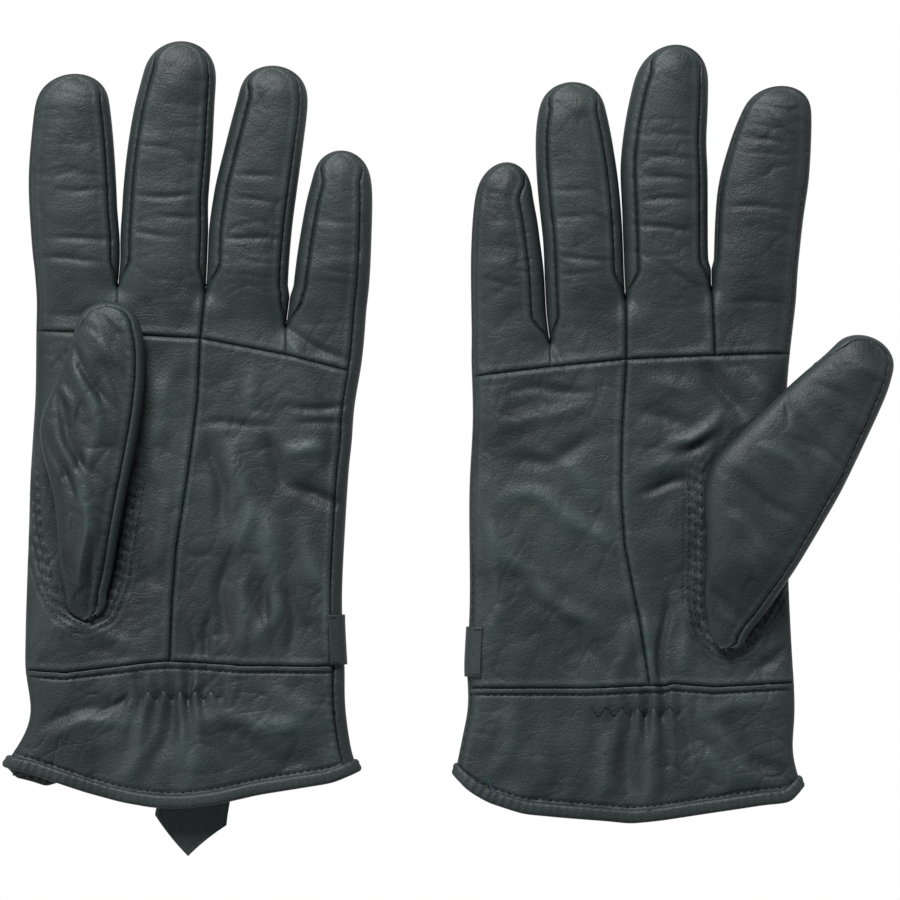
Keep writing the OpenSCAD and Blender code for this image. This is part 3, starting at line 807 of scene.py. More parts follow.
def thumb_rows(glove, x, y):
    """Rows of stitching round the thumb hole, puckered, and the hollow inside it."""
    distance = near_oval[glove](x, y)
    inside = within(OVAL[glove], x, y)
    shown = (1 - ease(y, -14, 4)) * (1 - ease(distance, 5.5, 9.5))
    rows = 0.28 * (np.cos(distance * 2 * math.pi / ROW_GAP + math.pi) - 0.2) * shown
    pucker = 0.22 * np.sin(y * 1.7 + x * 0.9) * shown * (1 - ease(distance, 2, 7))
    hollow = -0.3 - 1.1 * ease(distance, 0, 6)
    return np.where(inside, hollow, rows + pucker)


def front_surface(glove, x, y):
    return front_level(glove, x, y, near_edge[glove](x, y)) + thumb_rows(glove, x, y)


def panel_plan(left, right, bottom, top, u, v):
    """Places over a panel between four curves."""
    u, v = u[None, :], v[:, None]
    x = left(0 * v) * (1 - u) + right(0 * v) * u
    for _ in range(8):
        y = bottom(x) * (1 - v) + top(x) * v
        x = left(y) * (1 - u) + right(y) * u
    return x, y


def from_edge(count, low, high):
    """Steps from 0 to 1, closer together at an end that is a rounded edge."""
    t = np.linspace(0, 1, count)
    if low and high:
        return 0.5 - 0.5 * np.cos(math.pi * t)
    if low:
        return 1 - np.cos(math.pi / 2 * t)
    return np.sin(math.pi / 2 * t) if high else t


for glove in FINGER_ORDER:
    hand = f"{glove}_hand"
    thumb_side = THUMB_ON[glove]
    thumb_edge = lambda y, g=glove, s=thumb_side: edge_x(g, s, y)
    outer_edge = lambda y, g=glove, s=thumb_side: edge_x(g, -s, y)
    outer_seam = lambda y, g=glove, s=thumb_side: edge_x(g, -s, y) + s * OUTER_SEAM[g]
    middle = lambda y, g=glove: centre_x(g, y)
    bottom = lambda x, g=glove: cuff_y(g, x) - 0.4
    top = lambda x, g=glove: piecing_y(g, x) + 0.5
    tucked = lambda x, y, g=glove: (
        np.clip((y - piecing_y(g, x)) / 0.5, 0, 1) + np.clip((cuff_y(g, x) - y) / 0.4, 0, 1))
    v = np.linspace(0, 1, 150)
    # Each panel runs from its thumb side to its outer side
    for part, first, second, rounded in (("thumb_side", thumb_edge, middle, True),
                                         ("outer_side", middle, outer_seam, False)):
        x, y = panel_plan(first, second, bottom, top, from_edge(90, rounded, False), v)
        edge = np.minimum(np.abs(x - middle(y)), np.abs(np.minimum(top(x) - 0.5 - y, y - cuff_y(glove, x))))
        if not rounded:
            edge = np.minimum(edge, np.abs(x - outer_seam(y)))
        z = front_surface(glove, x, y) + seam_dip(edge, x + y) - 0.9 * tucked(x, y)
        panel = sheet_mesh(f"{glove}_palm_{part}_panel", np.stack([x, y, z], 2), lambda c: (0, 0, 1),
                           painted_light_and_tone=painted_light_by_height_and_seam(wrinkles(glove, x, y) + thumb_rows(glove, x, y), edge))
        dress(panel, outer_leather, hand, [f"{glove}_palm_{part}"])

    x, y = panel_plan(thumb_edge, outer_edge, bottom, top, from_edge(110, True, True), v)
    z = back_level(y, near_edge[glove](x, y)) + 0.9 * tucked(x, y)
    # Three stitched tucks run up the back towards the forks
    for fork_x, _ in FORKS[glove]:
        tuck = np.exp(-((x - fork_x - (fork_x - middle(y)) * 0.15) / 0.8) ** 2)
        z = z - 0.2 * tuck * ease(y, -22, -14) * (1 - ease(y, 14, 22))
    depth = OUTER_SEAM[glove] * np.linspace(0.15, 1, 9)[None, :] ** 2
    wrap_y = y[:, -1:]
    wrap_x = outer_edge(wrap_y) + thumb_side * depth
    wrap_y = bottom(wrap_x) * (1 - v[:, None]) + top(wrap_x) * v[:, None]
    wrap_z = front_level(glove, wrap_x, wrap_y, depth + 0 * wrap_y)
    wrap_z = wrap_z + np.minimum(seam_dip(OUTER_SEAM[glove] - depth, wrap_y), 0)
    grid = np.stack([np.hstack([x, wrap_x]), np.hstack([y, wrap_y]), np.hstack([z, wrap_z])], 2)
    back = sheet_mesh(f"{glove}_back_of_hand", grid, lambda c: (0, 0, -1), painted_light_and_tone=grid[..., 0] * 0 + 0.15)
    dress(back, outer_leather, hand, [f"{glove}_back_panel"])


# ---- Cuff ----
# The cuff is a separate band of the same leather. Its top edge laps the hand and is topstitched, a
# short elastic gathers it at the middle, and it flares to the hem.

HEM = {"left": [(-146.6, -105), (-138, -107), (-129, -110), (-119.5, -113.2), (-108, -116.4),
                (-97, -118.3), (-87, -118.6), (-76, -117.2), (-63, -114.2), (-50.5, -112.2),
                (-38, -110.2), (-29.2, -106.5)],
       "right": [(2.1, -108), (6, -112.4), (13, -116.6), (24.7, -120.4), (38, -121.6), (53, -122.8),
                 (60, -123.6), (70, -122.6), (83, -120.6), (95, -118.8), (104, -117.4), (113, -116.6),
                 (116.9, -112)]}
hem_line = {glove: eased(points, 2.0) for glove, points in HEM.items()}
BINDING = 4.4
# Middle of the gathers, their reach, and the ends of the zigzag stitching
GATHER = {"left": (-88.0, -81.0, 13.0, (-101.0, -76.0)), "right": (68.0, -86.6, 10.0, (47.0, 74.0))}
GATHER_PITCH = 5.2
CUFF_FOLDS = {
    "left": [[-134, -89, -112, -84, 2.5, -0.8], [-131, -96, -106, -87, 3.2, 0.9],
             [-92.6, -83, -94.5, -107, 3.0, -0.9], [-84, -84, -48, -96, 3.4, 0.7],
             [-80, -90, -44, -104, 3.2, -0.5], [-101, -84, -108, -110, 3.4, 0.7],
             [-88, -86, -86, -112, 2.4, 0.7], [-60, -80, -40, -84, 3, 0.4],
             [-103, -73.5, -97, -80, 1.5, -0.6], [-76, -74.5, -81.5, -80, 1.4, -0.5],
             [-104, -80.5, -117, -91, 1.3, -0.6], [-116, -100, -112, -112, 3, -0.4]],
    "right": [[56.5, -93, 58, -118, 2.4, -0.9], [51, -92, 50, -118, 3.0, 0.7],
              [64, -92, 67, -119, 2.8, 0.8], [76.2, -89, 79, -103, 1.6, -0.8],
              [91.8, -93, 111, -108, 3.2, -0.8], [84, -90, 104, -107, 3.0, 0.8],
              [80, -84, 110, -86, 3.0, 0.5], [82, -97, 92, -116, 2.8, 0.5],
              [20, -84, 16, -112, 3.2, 0.5], [32, -96, 34, -118, 3.0, -0.4]]}
for glove, lines in CUFF_FOLDS.items():
    FOLDS[glove] += lines


def hem_y(glove, x):
    return np.interp(x, hem_line[glove][:, 0], hem_line[glove][:, 1])


def back_drop(glove, x):
    """At one corner of the left glove the front of the hem curls up and shows the back of it."""
    return 3.0 * ease(x, -146.6, -142) * (1 - ease(x, -134, -127)) if glove == "left" else x * 0.0


def zigzag(x):
    share = (x / GATHER_PITCH) % 1.0
    return 2.0 * (2 * np.abs(2 * share - 1) - 1)


def gathers(glove, x, y):
    mid_x, mid_y, half, _ = GATHER[glove]
    below = mid_y + zigzag(x) - y
    fan = 1 / (1 + np.abs(below) / 45)
    shown = np.exp(-((x - mid_x) / half) ** 2)
    ripple = np.cos((x - mid_x) * fan * 2 * math.pi / GATHER_PITCH + 0.8 * cloud(x / 6, y / 9, 71))
    spread = np.exp(-np.abs(below) / np.where(below > 0, 9.0, 4.0))
    groove = -0.7 * np.exp(-(below / 1.0) ** 2)
    ripple = ripple * (0.85 + 0.5 * cloud(x / 6.5, y * 0, 72))
    return shown * (1.25 * ripple * spread + 0.4 * ripple * np.exp(-np.abs(below) / 20) + groove)


def lap(edge):
    """The lapped top edge of the cuff: a raised welt, then the groove of its topstitching."""
    return 0.42 * (1 - ease(edge, 1.2, 1.9)) - 0.38 * np.exp(-((edge - 2.1) / 0.45) ** 2)


def cuff_surface(glove, x, y):
    return front_level(glove, x, y, near_edge[glove](x, y)) + gathers(glove, x, y)


for glove in FINGER_ORDER:
    hand = f"{glove}_hand"
    thumb_side = THUMB_ON[glove]
    thumb_edge = lambda y, g=glove, s=thumb_side: edge_x(g, s, y)
    outer_edge = lambda y, g=glove, s=thumb_side: edge_x(g, -s, y)
    outer_seam = lambda y, g=glove, s=thumb_side: edge_x(g, -s, y) + s * OUTER_SEAM[g]
    front_hem = lambda x, g=glove: hem_y(g, x) + BINDING - 0.9
    back_hem = lambda x, g=glove: hem_y(g, x) + BINDING - 0.9 - back_drop(g, x)
    top = lambda x, g=glove: cuff_y(g, x)
    v = np.linspace(0, 1, 90)
    x, y = panel_plan(thumb_edge, outer_seam, front_hem, top, from_edge(190, True, False), v)
    side = np.abs(x - outer_seam(y))
    z = cuff_surface(glove, x, y) + lap(top(x) - y) + seam_dip(side, y)
    hem_groove = np.exp(-((y - front_hem(x) - 1.9) / 0.5) ** 2)
    z = z - 0.35 * hem_groove
    front = sheet_mesh(f"{glove}_cuff_front_panel", np.stack([x, y, z], 2), lambda c: (0, 0, 1),
                       painted_light_and_tone=painted_light_by_height_and_seam(wrinkles(glove, x, y) + gathers(glove, x, y) * 0.6 + lap(top(x) - y),
                                       np.minimum(side, 9)))
    dress(front, outer_leather, hand, [f"{glove}_cuff_front"])

    x, y = panel_plan(thumb_edge, outer_edge, back_hem, top, from_edge(110, True, True), v)
    z = back_level(y, near_edge[glove](x, y))
    depth = OUTER_SEAM[glove] * np.linspace(0.15, 1, 9)[None, :] ** 2
    wrap_y = y[:, -1:]
    wrap_x = outer_edge(wrap_y) + thumb_side * depth
    wrap_y = back_hem(wrap_x) * (1 - v[:, None]) + top(wrap_x) * v[:, None]
    wrap_z = front_level(glove, wrap_x, wrap_y, depth + 0 * wrap_y)
    wrap_z = wrap_z + np.minimum(seam_dip(OUTER_SEAM[glove] - depth, wrap_y), 0)
    grid = np.stack([np.hstack([x, wrap_x]), np.hstack([y, wrap_y]), np.hstack([z, wrap_z])], 2)
    back = sheet_mesh(f"{glove}_cuff_back_panel", grid, lambda c: (0, 0, -1), painted_light_and_tone=grid[..., 0] * 0 + 0.15)
    dress(back, outer_leather, hand, [f"{glove}_cuff_back"])


# ---- Hem binding ----
# A strip of the same leather is rolled over the raw edge of cuff and lining, all round the mouth,
# and stitched down. It stands a little proud and puckers between the stitches.

binding_leather = leather("binding_leather", colour(0.0030, 0.0066, 0.0068),
                          colour(0.0220, 0.0350, 0.0340), 0.65)

for glove in FINGER_ORDER:
    line = hem_line[glove]
    length = measure(line)
    # The ends of the line are rounded edges, so its stations close up towards them
    share = from_edge(200, True, True)
    along = np.linspace(0, 1, len(line))
    line = np.stack([np.interp(share, along, line[:, 0]), np.interp(share, along, line[:, 1])], 1)
    slope = np.gradient(line, axis=0)
    slope /= np.linalg.norm(slope, axis=1, keepdims=True)
    into = np.stack([-slope[:, 1], slope[:, 0]], 1)
    # At its ends the binding stands along the edges of the cuff
    for end, side, nearness in ((0, -1, share), (-1, 1, 1 - share)):
        edge = np.array([edge_x(glove, side, line[end, 1] + BINDING) - line[end, 0], BINDING])
        blend = ease(nearness * length, 0, 12)[:, None]
        into = into * blend + edge / np.linalg.norm(edge) * (1 - blend)
    into /= np.linalg.norm(into, axis=1, keepdims=True)
    from_end = np.minimum(share, 1 - share) * length
    top, middle_z, low = levels(line[:, 1])
    wave = 0.5 * cloud(line[:, 0] / 14, line[:, 1] / 30, 5)
    front_z = middle_z + (top - middle_z) * cushion(from_end, 11) + wave * ease(from_end, 0, 10)
    back_z = middle_z - (middle_z - low) * cushion(from_end, 7)
    drop = back_drop(glove, line[:, 0])
    front_path = np.column_stack([line, front_z])
    back_path = np.column_stack([line[:, 0], line[:, 1] - drop, back_z])
    path = np.concatenate([front_path, back_path[::-1][1:-1]])
    into = np.concatenate([into, into[::-1][1:-1]])
    into = np.column_stack([into, np.zeros(len(into))])
    tangent = np.roll(path, -1, axis=0) - np.roll(path, 1, axis=0)
    tangent /= np.linalg.norm(tangent, axis=1, keepdims=True)
    out = np.cross(tangent, into)
    out /= np.maximum(np.linalg.norm(out, axis=1, keepdims=True), 1e-6)
    angle = np.linspace(0, 2 * math.pi, 17)[:-1]
    run = np.concatenate([[0], np.cumsum(np.linalg.norm(np.diff(path, axis=0), axis=1))])
    ripple = (1 + 0.10 * np.sin(run * 2.3)[:, None]
              + 0.08 * cloud(run[:, None] / 3 + 0 * angle, run[:, None] / 9, 9))
    a = BINDING / 2 - np.sign(np.cos(angle)) * np.abs(np.cos(angle)) ** 0.8 * BINDING / 2
    sewn = np.exp(-((a[None, :] - 2.2) / 0.7) ** 2) * (np.sin(angle) > 0)
    b = 1.25 * np.sin(angle)[None, :] * ripple - 0.28 * sewn
    grid = path[:, None] + into[:, None] * a[None, :, None] + out[:, None] * b[..., None]
    grid = np.concatenate([grid, grid[:1]], axis=0)
    grid = np.concatenate([grid, grid[:, :1]], axis=1)
    # Painted light: the outward face of the roll and the swells of its puckers are painted paler as a
    # highlight, and its inward face darker as shade.
    painted_light_and_tone = np.clip(0.10 + 0.25 * np.sin(angle)[None, :] * ripple, 0, 1)
    painted_light_and_tone = np.concatenate([painted_light_and_tone, painted_light_and_tone[:1]], axis=0)
    painted_light_and_tone = np.concatenate([painted_light_and_tone, painted_light_and_tone[:, :1]], axis=1)
    tree = KDTree(len(path))
    for k, (point, inner) in enumerate(zip(path, into)):
        tree.insert(point + inner * BINDING / 2, k)
    tree.balance()
    binding = sheet_mesh(f"{glove}_hem_roll", grid, lambda c, t=tree: Vector(c) - t.find(c)[0], thickness=0,
                         painted_light_and_tone=painted_light_and_tone)
    dress(binding, binding_leather, f"{glove}_hand", [f"{glove}_hem_binding"])


# ---- Thumbs ----
# Each thumb is a front and a back panel sewn into the oval hole. The seam between them runs up one
# edge and round the tip. The left thumb lies folded over the palm and the right one stands out.

THUMB_SEAM, THUMB_TIP_SEAM = 2.8, 1.8
THUMB_HEADING = {"left": 0.0, "right": -25.4}
BASE_ROUND = 7.0
THUMB_FOLDS = {
    "left": [[-124.6, 28, -111.7, 5, 2.2, 1.4], [-129.9, 19, -116.2, -10, 1.8, -1.6],
             [-133, 8, -123.1, -17, 1.6, -1.4], [-119.3, 38, -107.9, 26, 2.0, 0.9],
             [-122, 34, -110, 12, 1.4, -1.2], [-126.5, 5, -119.5, -22, 1.9, 1.2],
             [-130, -8, -123, -42, 1.5, -1.2], [-116, 2, -117, -34, 2.0, 0.8],
             [-113.5, 44, -106.5, 34, 1.2, -1.0], [-128, 24, -121, 12, 1.3, 0.7],
             [-119, -14, -120.5, -46, 1.4, 0.8], [-112.5, 30, -108, 14, 1.3, -0.7],
             [-131.5, 2, -126.5, -12, 1.2, 0.8], [-117, -30, -116, -46, 1.1, -0.7]],
    "right": [[112, 14, 122, -2, 2.0, -0.7], [100, 4, 118, -14, 2.4, 0.7],
              [92, -6, 114, -26, 2.0, -0.7], [88, -20, 106, -38, 2.4, 0.6],
              [118, 24, 132, 14, 2.0, -0.6], [86, -44, 97, -56, 1.8, -0.8],
              [109.5, 18, 110.5, 9, 1.0, -1.1], [120, 30, 128, 20, 1.6, 0.6],
              [130, 30, 142, 24, 1.8, 0.5], [96, -36, 104, -46, 1.6, 0.5],
              [112, 5, 128, -6, 1.4, -0.5], [88, -52, 94, -60, 1.4, 0.7]]}
FOLDS["left_thumb"], FOLDS["right_thumb"] = THUMB_FOLDS["left"], THUMB_FOLDS["right"]


def thumb_wrinkles(glove, x, y):
    seed = 101 if glove == "left" else 131
    slant = -62 if glove == "left" else -48
    lines = crease(x, y, seed, 15.0, 5.0, slant) + 0.7 * crease(x, y, seed + 1, 9.0, 3.4, slant + 16)
    soft = 0.35 * cloud(x / 9.0, y / 9.0, seed + 2) + 0.08 * cloud(x / 4.0, y / 4.5, seed + 3)
    depth = 0.45 if glove == "left" else 0.18
    return soft - depth * lines + folds(f"{glove}_thumb", x, y)


def thumb_up(glove):
    """The way the thumb's hinge points, which is square to the thumb."""
    joint = next(j for j in frame["joints"] if j["child"] == f"{glove}_thumb")
    return np.array(joint["axis"], float) / np.linalg.norm(joint["axis"])


def cut_sides(start, end, stations):
    """How far a drafted part reaches to each side at each station along it."""
    sides = []
    for level in stations:
        a, b = start[:, 1] - level, end[:, 1] - level
        cut = a * b < 0
        hits = (start + (a / np.where(cut, a - b, 1))[:, None] * (end - start))[cut, 0]
        sides.append((hits.min(), hits.max()))
    return np.array(sides)


for glove in FINGER_ORDER:
    pivot = knuckle(glove, "thumb")
    up = thumb_up(glove)
    heading = math.radians(THUMB_HEADING[glove])
    ahead = np.array([-math.sin(heading), math.cos(heading), 0])
    ahead -= up * ahead.dot(up)
    ahead /= np.linalg.norm(ahead)
    aside = np.cross(ahead, up)
    axes = np.stack([aside, ahead, up])
    start, end = (np.concatenate(p) for p in zip(*[drafted(f"{glove}_thumb_{s}") for s in ("front", "back")]))
    start, end = (start - pivot) @ axes.T, (end - pivot) @ axes.T
    base_at, tip_at = start[:, 1].min(), start[:, 1].max()
    up_low, up_high = start[:, 2].min(), start[:, 2].max()
    stations = base_at + (tip_at - base_at) * (0.5 - 0.5 * np.cos(np.linspace(0.03, math.pi - 0.03, 90)))
    sides = cut_sides(start, end, stations)
    # The base is rounded, where the drafted part comes to a narrow end
    from_base = stations - base_at
    short_by = BASE_ROUND - np.minimum(from_base, BASE_ROUND)
    rounded = np.sqrt(np.clip(BASE_ROUND ** 2 - short_by ** 2, 0, None))
    centre_line = sides.mean(1)
    half_width = np.maximum((sides[:, 1] - sides[:, 0]) / 2, np.where(from_base < BASE_ROUND, rounded, 0))
    sides = np.column_stack([centre_line - half_width, centre_line + half_width])
    loop = np.concatenate([np.column_stack([sides[:, 0], stations]),
                           np.column_stack([sides[:, 1], stations])[::-1]])
    rim = eased(loop, 1.8)
    tip = int(np.argmax(rim[:, 1]))
    run = np.concatenate([[0], np.cumsum(np.linalg.norm(np.diff(rim, axis=0), axis=1))])
    past_tip = run - run[tip]
    width = np.where(past_tip >= 0, THUMB_SEAM, THUMB_SEAM * ease(past_tip, -24, -8))
    near_tip = 1 - ease(np.abs(past_tip), 5, 16)
    width = np.minimum(width, THUMB_SEAM + (THUMB_TIP_SEAM - THUMB_SEAM) * near_tip)
    width = np.maximum(width * ease(run[-1] - run, 0, 8), 0.02)
    normals = inward(rim)
    inner = rim + normals * width[:, None]
    own = finder([rim])

    def thumb_level(ahead_mm, distance, top_side):
        thick = (up_high - up_low) * (0.16 + 0.84 * ease(ahead_mm - base_at, -4, 36))
        low = up_low - 0.9 * (1 - ease(ahead_mm - base_at, 0, 30))
        middle = low + thick * 0.42
        if not top_side:
            return middle - (middle - low) * cushion(distance, UNDER_RADIUS)
        radius = 16.0 - 5.0 * ease(ahead_mm - base_at, 20, 70)
        return middle + (thick + low - middle) * cushion(distance, radius)

    def placed(aside_mm, ahead_mm, lift):
        place = pivot + aside_mm[..., None] * aside + ahead_mm[..., None] * ahead
        return place + lift[..., None] * up

    rows = max(tip, len(rim) - tip)
    left_side, right_side = resampled(inner[:tip + 1], rows), resampled(inner[tip:][::-1], rows)
    across = from_edge(60, True, False)[None, :]
    a = left_side[:, :1] * (1 - across) + right_side[:, :1] * across
    b = left_side[:, 1:] * (1 - across) + right_side[:, 1:] * across
    distance = own(a, b)
    plan = placed(a, b, a * 0)
    span = np.linalg.norm(right_side - left_side, axis=1)[:, None]
    edge = (1 - across) * span
    height = thumb_wrinkles(glove, plan[..., 0], plan[..., 1])
    lift = thumb_level(b, distance, True) + height * ease(distance, 0, 4) + seam_dip(edge, b)
    thumb_front = sheet_mesh(f"{glove}_thumb_front_panel", placed(a, b, lift), lambda c, n=up: n,
                             painted_light_and_tone=painted_light_by_height_and_seam(height, edge))

    left_side, right_side = resampled(rim[:tip - 3], rows), resampled(rim[tip + 4:][::-1], rows)
    across = from_edge(44, True, True)[None, :]
    a = left_side[:, :1] * (1 - across) + right_side[:, :1] * across
    b = left_side[:, 1:] * (1 - across) + right_side[:, 1:] * across
    lift = thumb_level(b, own(a, b), False)
    under = sheet_mesh(f"{glove}_thumb_back_panel", placed(a, b, lift), lambda c, n=up: -n, thickness=0,
                       painted_light_and_tone=a * 0 + 0.15)
    from_tip = past_tip >= -24
    turn = np.linspace(1, -1, 15)[None, :]
    depth = np.where(turn >= 0, width[from_tip, None], 3.4) * turn ** 2
    a = rim[from_tip, :1] + normals[from_tip, :1] * depth
    b = rim[from_tip, 1:] + normals[from_tip, 1:] * depth
    lift = np.where(turn >= 0, thumb_level(b, depth, True), thumb_level(b, depth, False))
    lift = lift + np.minimum(seam_dip(width[from_tip, None] - depth, b), 0) * (turn > 0)
    core = Vector(placed(a.mean(keepdims=True), b.mean(keepdims=True), a.mean(keepdims=True) * 0)[0, 0])
    band = sheet_mesh(f"{glove}_thumb_edge_band", placed(a, b, lift), lambda c, m=core: c - m,
                      painted_light_and_tone=a * 0 + 0.35)
    bm = bmesh.new()
    bm.from_mesh(under.data)
    bm.from_mesh(band.data)
    bm.to_mesh(under.data)
    bm.free()
    bpy.data.objects.remove(band)

    root = placed(np.array([0.0]), np.array([base_at + 4]), np.array([0.0]))[0]
    reach_to = placed(np.array([0.0]), np.array([base_at + 34]), np.array([0.0]))[0]
    bend = (f"{glove}_thumb", tuple(root * MM), tuple(reach_to * MM))
    dress(thumb_front, outer_leather, f"{glove}_hand", [f"{glove}_thumb_front"], bend)
    dress(under, outer_leather, f"{glove}_hand", [f"{glove}_thumb_back"], bend)


# ---- Linings ----
# Inside every part is a bag of fleece, sewn with its pile inwards. It shows only in the mouth of the cuff,
# where it stops short of the binding, and its charcoal colour is painted shade for the dark inside of the
# mouth.

fleece, fleece_shader, fleece_place = new_material("fleece", 0.95, specular=0.15, sheen=0.5)
curl = fleece_place.node("ShaderNodeTexNoise", {"Vector": fleece_place, "Scale": 900.0, "Detail": 4.0})
tuft = fleece_place.node("ShaderNodeTexVoronoi", {"Vector": fleece_place, "Scale": 420.0})
# Charcoal colours: painted shade for the inside of the cuff's mouth, varied by random curl.
curl.mix(colour(0.010, 0.011, 0.012), colour(0.045, 0.047, 0.048)).feed(fleece_shader.inputs["Base Color"])
(0.85 + curl * 0.15).feed(fleece_shader.inputs["Roughness"])
pile = curl + tuft * 0.6
pile.node("ShaderNodeBump", {"Height": pile, "Strength": 0.9, "Distance": 0.0006}).feed(
    fleece_shader.inputs["Normal"])

# How far the fleece stays inside the edge of the leather, and of the thumb's drafted lining
FLEECE_IN, THUMB_IN = 2.6, 1.6
# Height of a finger's fleece bag at its middle, and half its thickness
FLEECE_MIDDLE, FLEECE_HALF = 6.2, 3.8


def bag(name, left, right, lift, outward, place=None, wall=0.7):
    """A soft tube between two edges. lift gives its middle and half its height for each row."""
    angle = np.linspace(0, 2 * math.pi, 41)[None, :]
    half = (right - left) / 2
    centre = (left + right) / 2
    middle, rise = lift
    a = centre[:, :1] + half[:, :1] * np.cos(angle)
    b = centre[:, 1:] + half[:, 1:] * np.cos(angle)
    swell = np.sign(np.sin(angle)) * np.abs(np.sin(angle)) ** 0.7
    c = middle[:, None] + rise[:, None] * swell + 0.12 * cloud(a / 1.3, b / 1.3, 3)
    grid = np.stack([a, b, c], 2) if place is None else place(a, b, c)
    return sheet_mesh(name, grid, outward, thickness=wall)


for glove, order in FINGER_ORDER.items():
    hand = f"{glove}_hand"
    for finger in order:
        low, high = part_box(f"{glove}_{finger}_lining")
        at = np.linspace(low.y / MM + 0.3, high.y / MM - 2.0, 40)
        back = f"{glove}_{finger}_back"
        lows, highs = reach([back], np.maximum(at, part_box(back)[0].y / MM + 0.3))
        close = np.sqrt(np.clip(1 - ((at - at[0]) / (at[-1] - at[0])) ** 8, 0, 1))
        half = (highs - lows) / 2 - FLEECE_IN
        middle_x = (highs + lows) / 2
        bend = finger_bend(glove, finger)
        inner = bag(f"{glove}_{finger}_fleece", np.column_stack([middle_x - half * close, at]),
                    np.column_stack([middle_x + half * close, at]),
                    (at * 0 + FLEECE_MIDDLE, FLEECE_HALF * close + 0.05),
                    lambda c, m=middle_x.mean(): Vector((c[0] - m, 0, c[2] - FLEECE_MIDDLE)))
        dress(inner, fleece, hand, [f"{glove}_{finger}_lining"], bend)

    at = np.linspace(HEM[glove][0][1] - 3.0, min(p[1] for p in PIECING[glove]) - 2.0, 60)
    close = np.sqrt(np.clip(1 - ((at - at[0]) / (at[-1] - at[0])) ** 10, 0, 1))
    left, right = edge_x(glove, -1, at) + FLEECE_IN, edge_x(glove, 1, at) - FLEECE_IN
    middle_x, half = (left + right) / 2, (right - left) / 2 * (0.25 + 0.75 * close)
    top, _, low = levels(at)
    roof, ground = top - 3.4, low + 1.6
    inner = bag(f"{glove}_hand_fleece",
                np.column_stack([middle_x - half, at]), np.column_stack([middle_x + half, at]),
                ((roof + ground) / 2, (roof - ground) / 2 * close + 0.05),
                lambda c: Vector((0, 0, c[2] - 6.0)))
    dress(inner, fleece, hand, [f"{glove}_hand_lining"])

    pivot = knuckle(glove, "thumb")
    up = thumb_up(glove)
    heading = math.radians(THUMB_HEADING[glove])
    ahead = np.array([-math.sin(heading), math.cos(heading), 0])
    ahead -= up * ahead.dot(up)
    aside = np.cross(ahead, up)
    start, end = drafted(f"{glove}_thumb_lining")
    axes = np.stack([aside, ahead, up])
    start, end = (start - pivot) @ axes.T, (end - pivot) @ axes.T
    at = np.linspace(start[:, 1].min() + 14.0, start[:, 1].max() - 2.5, 40)
    sides = cut_sides(start, end, at) + np.array([THUMB_IN, -THUMB_IN])
    close = np.sqrt(np.clip(1 - ((at - at.mean()) / (at[-1] - at.mean())) ** 8, 0, 1))
    middle_a, half = sides.mean(1), (sides[:, 1] - sides[:, 0]) / 2 * close
    ground = start[:, 2].min() + 0.3
    thick = (start[:, 2].max() - start[:, 2].min() - 2.2) * (0.12 + 0.88 * ease(at - at[0], 0, 34))
    place = lambda a, b, c, o=pivot, i=aside, j=ahead, k=up: (
        o + a[..., None] * i + b[..., None] * j + c[..., None] * k)
    heart = place(*(np.array([v]) for v in (middle_a.mean(), at.mean(), ground + thick.mean() / 2)))[0]
    inner = bag(f"{glove}_thumb_fleece",
                np.column_stack([middle_a - half, at]), np.column_stack([middle_a + half, at]),
                (ground + thick / 2, thick / 2 * close + 0.05), lambda c, m=Vector(heart): c - m, place)
    root = place(np.array([0.0]), at[:1] - 2, np.array([0.0]))[0]
    reach_to = place(np.array([0.0]), at[:1] + 28, np.array([0.0]))[0]
    dress(inner, fleece, hand, [f"{glove}_thumb_lining"],
          (f"{glove}_thumb", tuple(root * MM), tuple(reach_to * MM)))


# ---- Wrist elastic and its stitching ----
# A short flat elastic lies under the cuff leather and is caught by one run of zigzag stitching. It
# was stretched while it was sewn, so it gathers the leather.

elastic, elastic_shader, elastic_place = new_material("elastic", 0.8, specular=0.25)
rib = elastic_place.node("ShaderNodeTexWave", {"Vector": elastic_place, "Scale": 320.0}, bands_direction="Y")
rib.mix(colour(0.02, 0.021, 0.022), colour(0.07, 0.072, 0.074)).feed(elastic_shader.inputs["Base Color"])
(0.7 + rib * 0.2).feed(elastic_shader.inputs["Roughness"])

thread, thread_shader, thread_place = new_material("thread", 0.6, specular=0.12)
ply = thread_place.node("ShaderNodeTexWave", {"Vector": thread_place, "Scale": 700.0},
                        bands_direction="DIAGONAL")
ply.mix(colour(0.002, 0.003, 0.004), colour(0.012, 0.016, 0.02)).feed(thread_shader.inputs["Base Color"])
(0.6 + ply * 0.2).feed(thread_shader.inputs["Roughness"])

THREAD = 0.42


def stitches(name, paths, glove, pitch=2.3, length=1.6, bend=None):
    """Runs of separate stitches, each a small rounded bar of thread."""
    bm = bmesh.new()
    for path in paths:
        spots = resampled(path, max(int(measure(path) / pitch), 2) + 1)
        for here, there in zip(spots, spots[1:]):
            step = Vector(there - here)
            turn = step.to_track_quat("X", "Z").to_matrix().to_4x4()
            size = Matrix.Diagonal((length / 2 * MM, THREAD / 2 * MM, THREAD / 2 * MM, 1))
            middle = Matrix.Translation(Vector((here + there) / 2) * MM)
            bmesh.ops.create_icosphere(bm, subdivisions=1, radius=1.0, matrix=middle @ turn @ size)
    piece = finished(name, bm)
    dress(piece, thread, f"{glove}_hand", (), bend)
    return piece


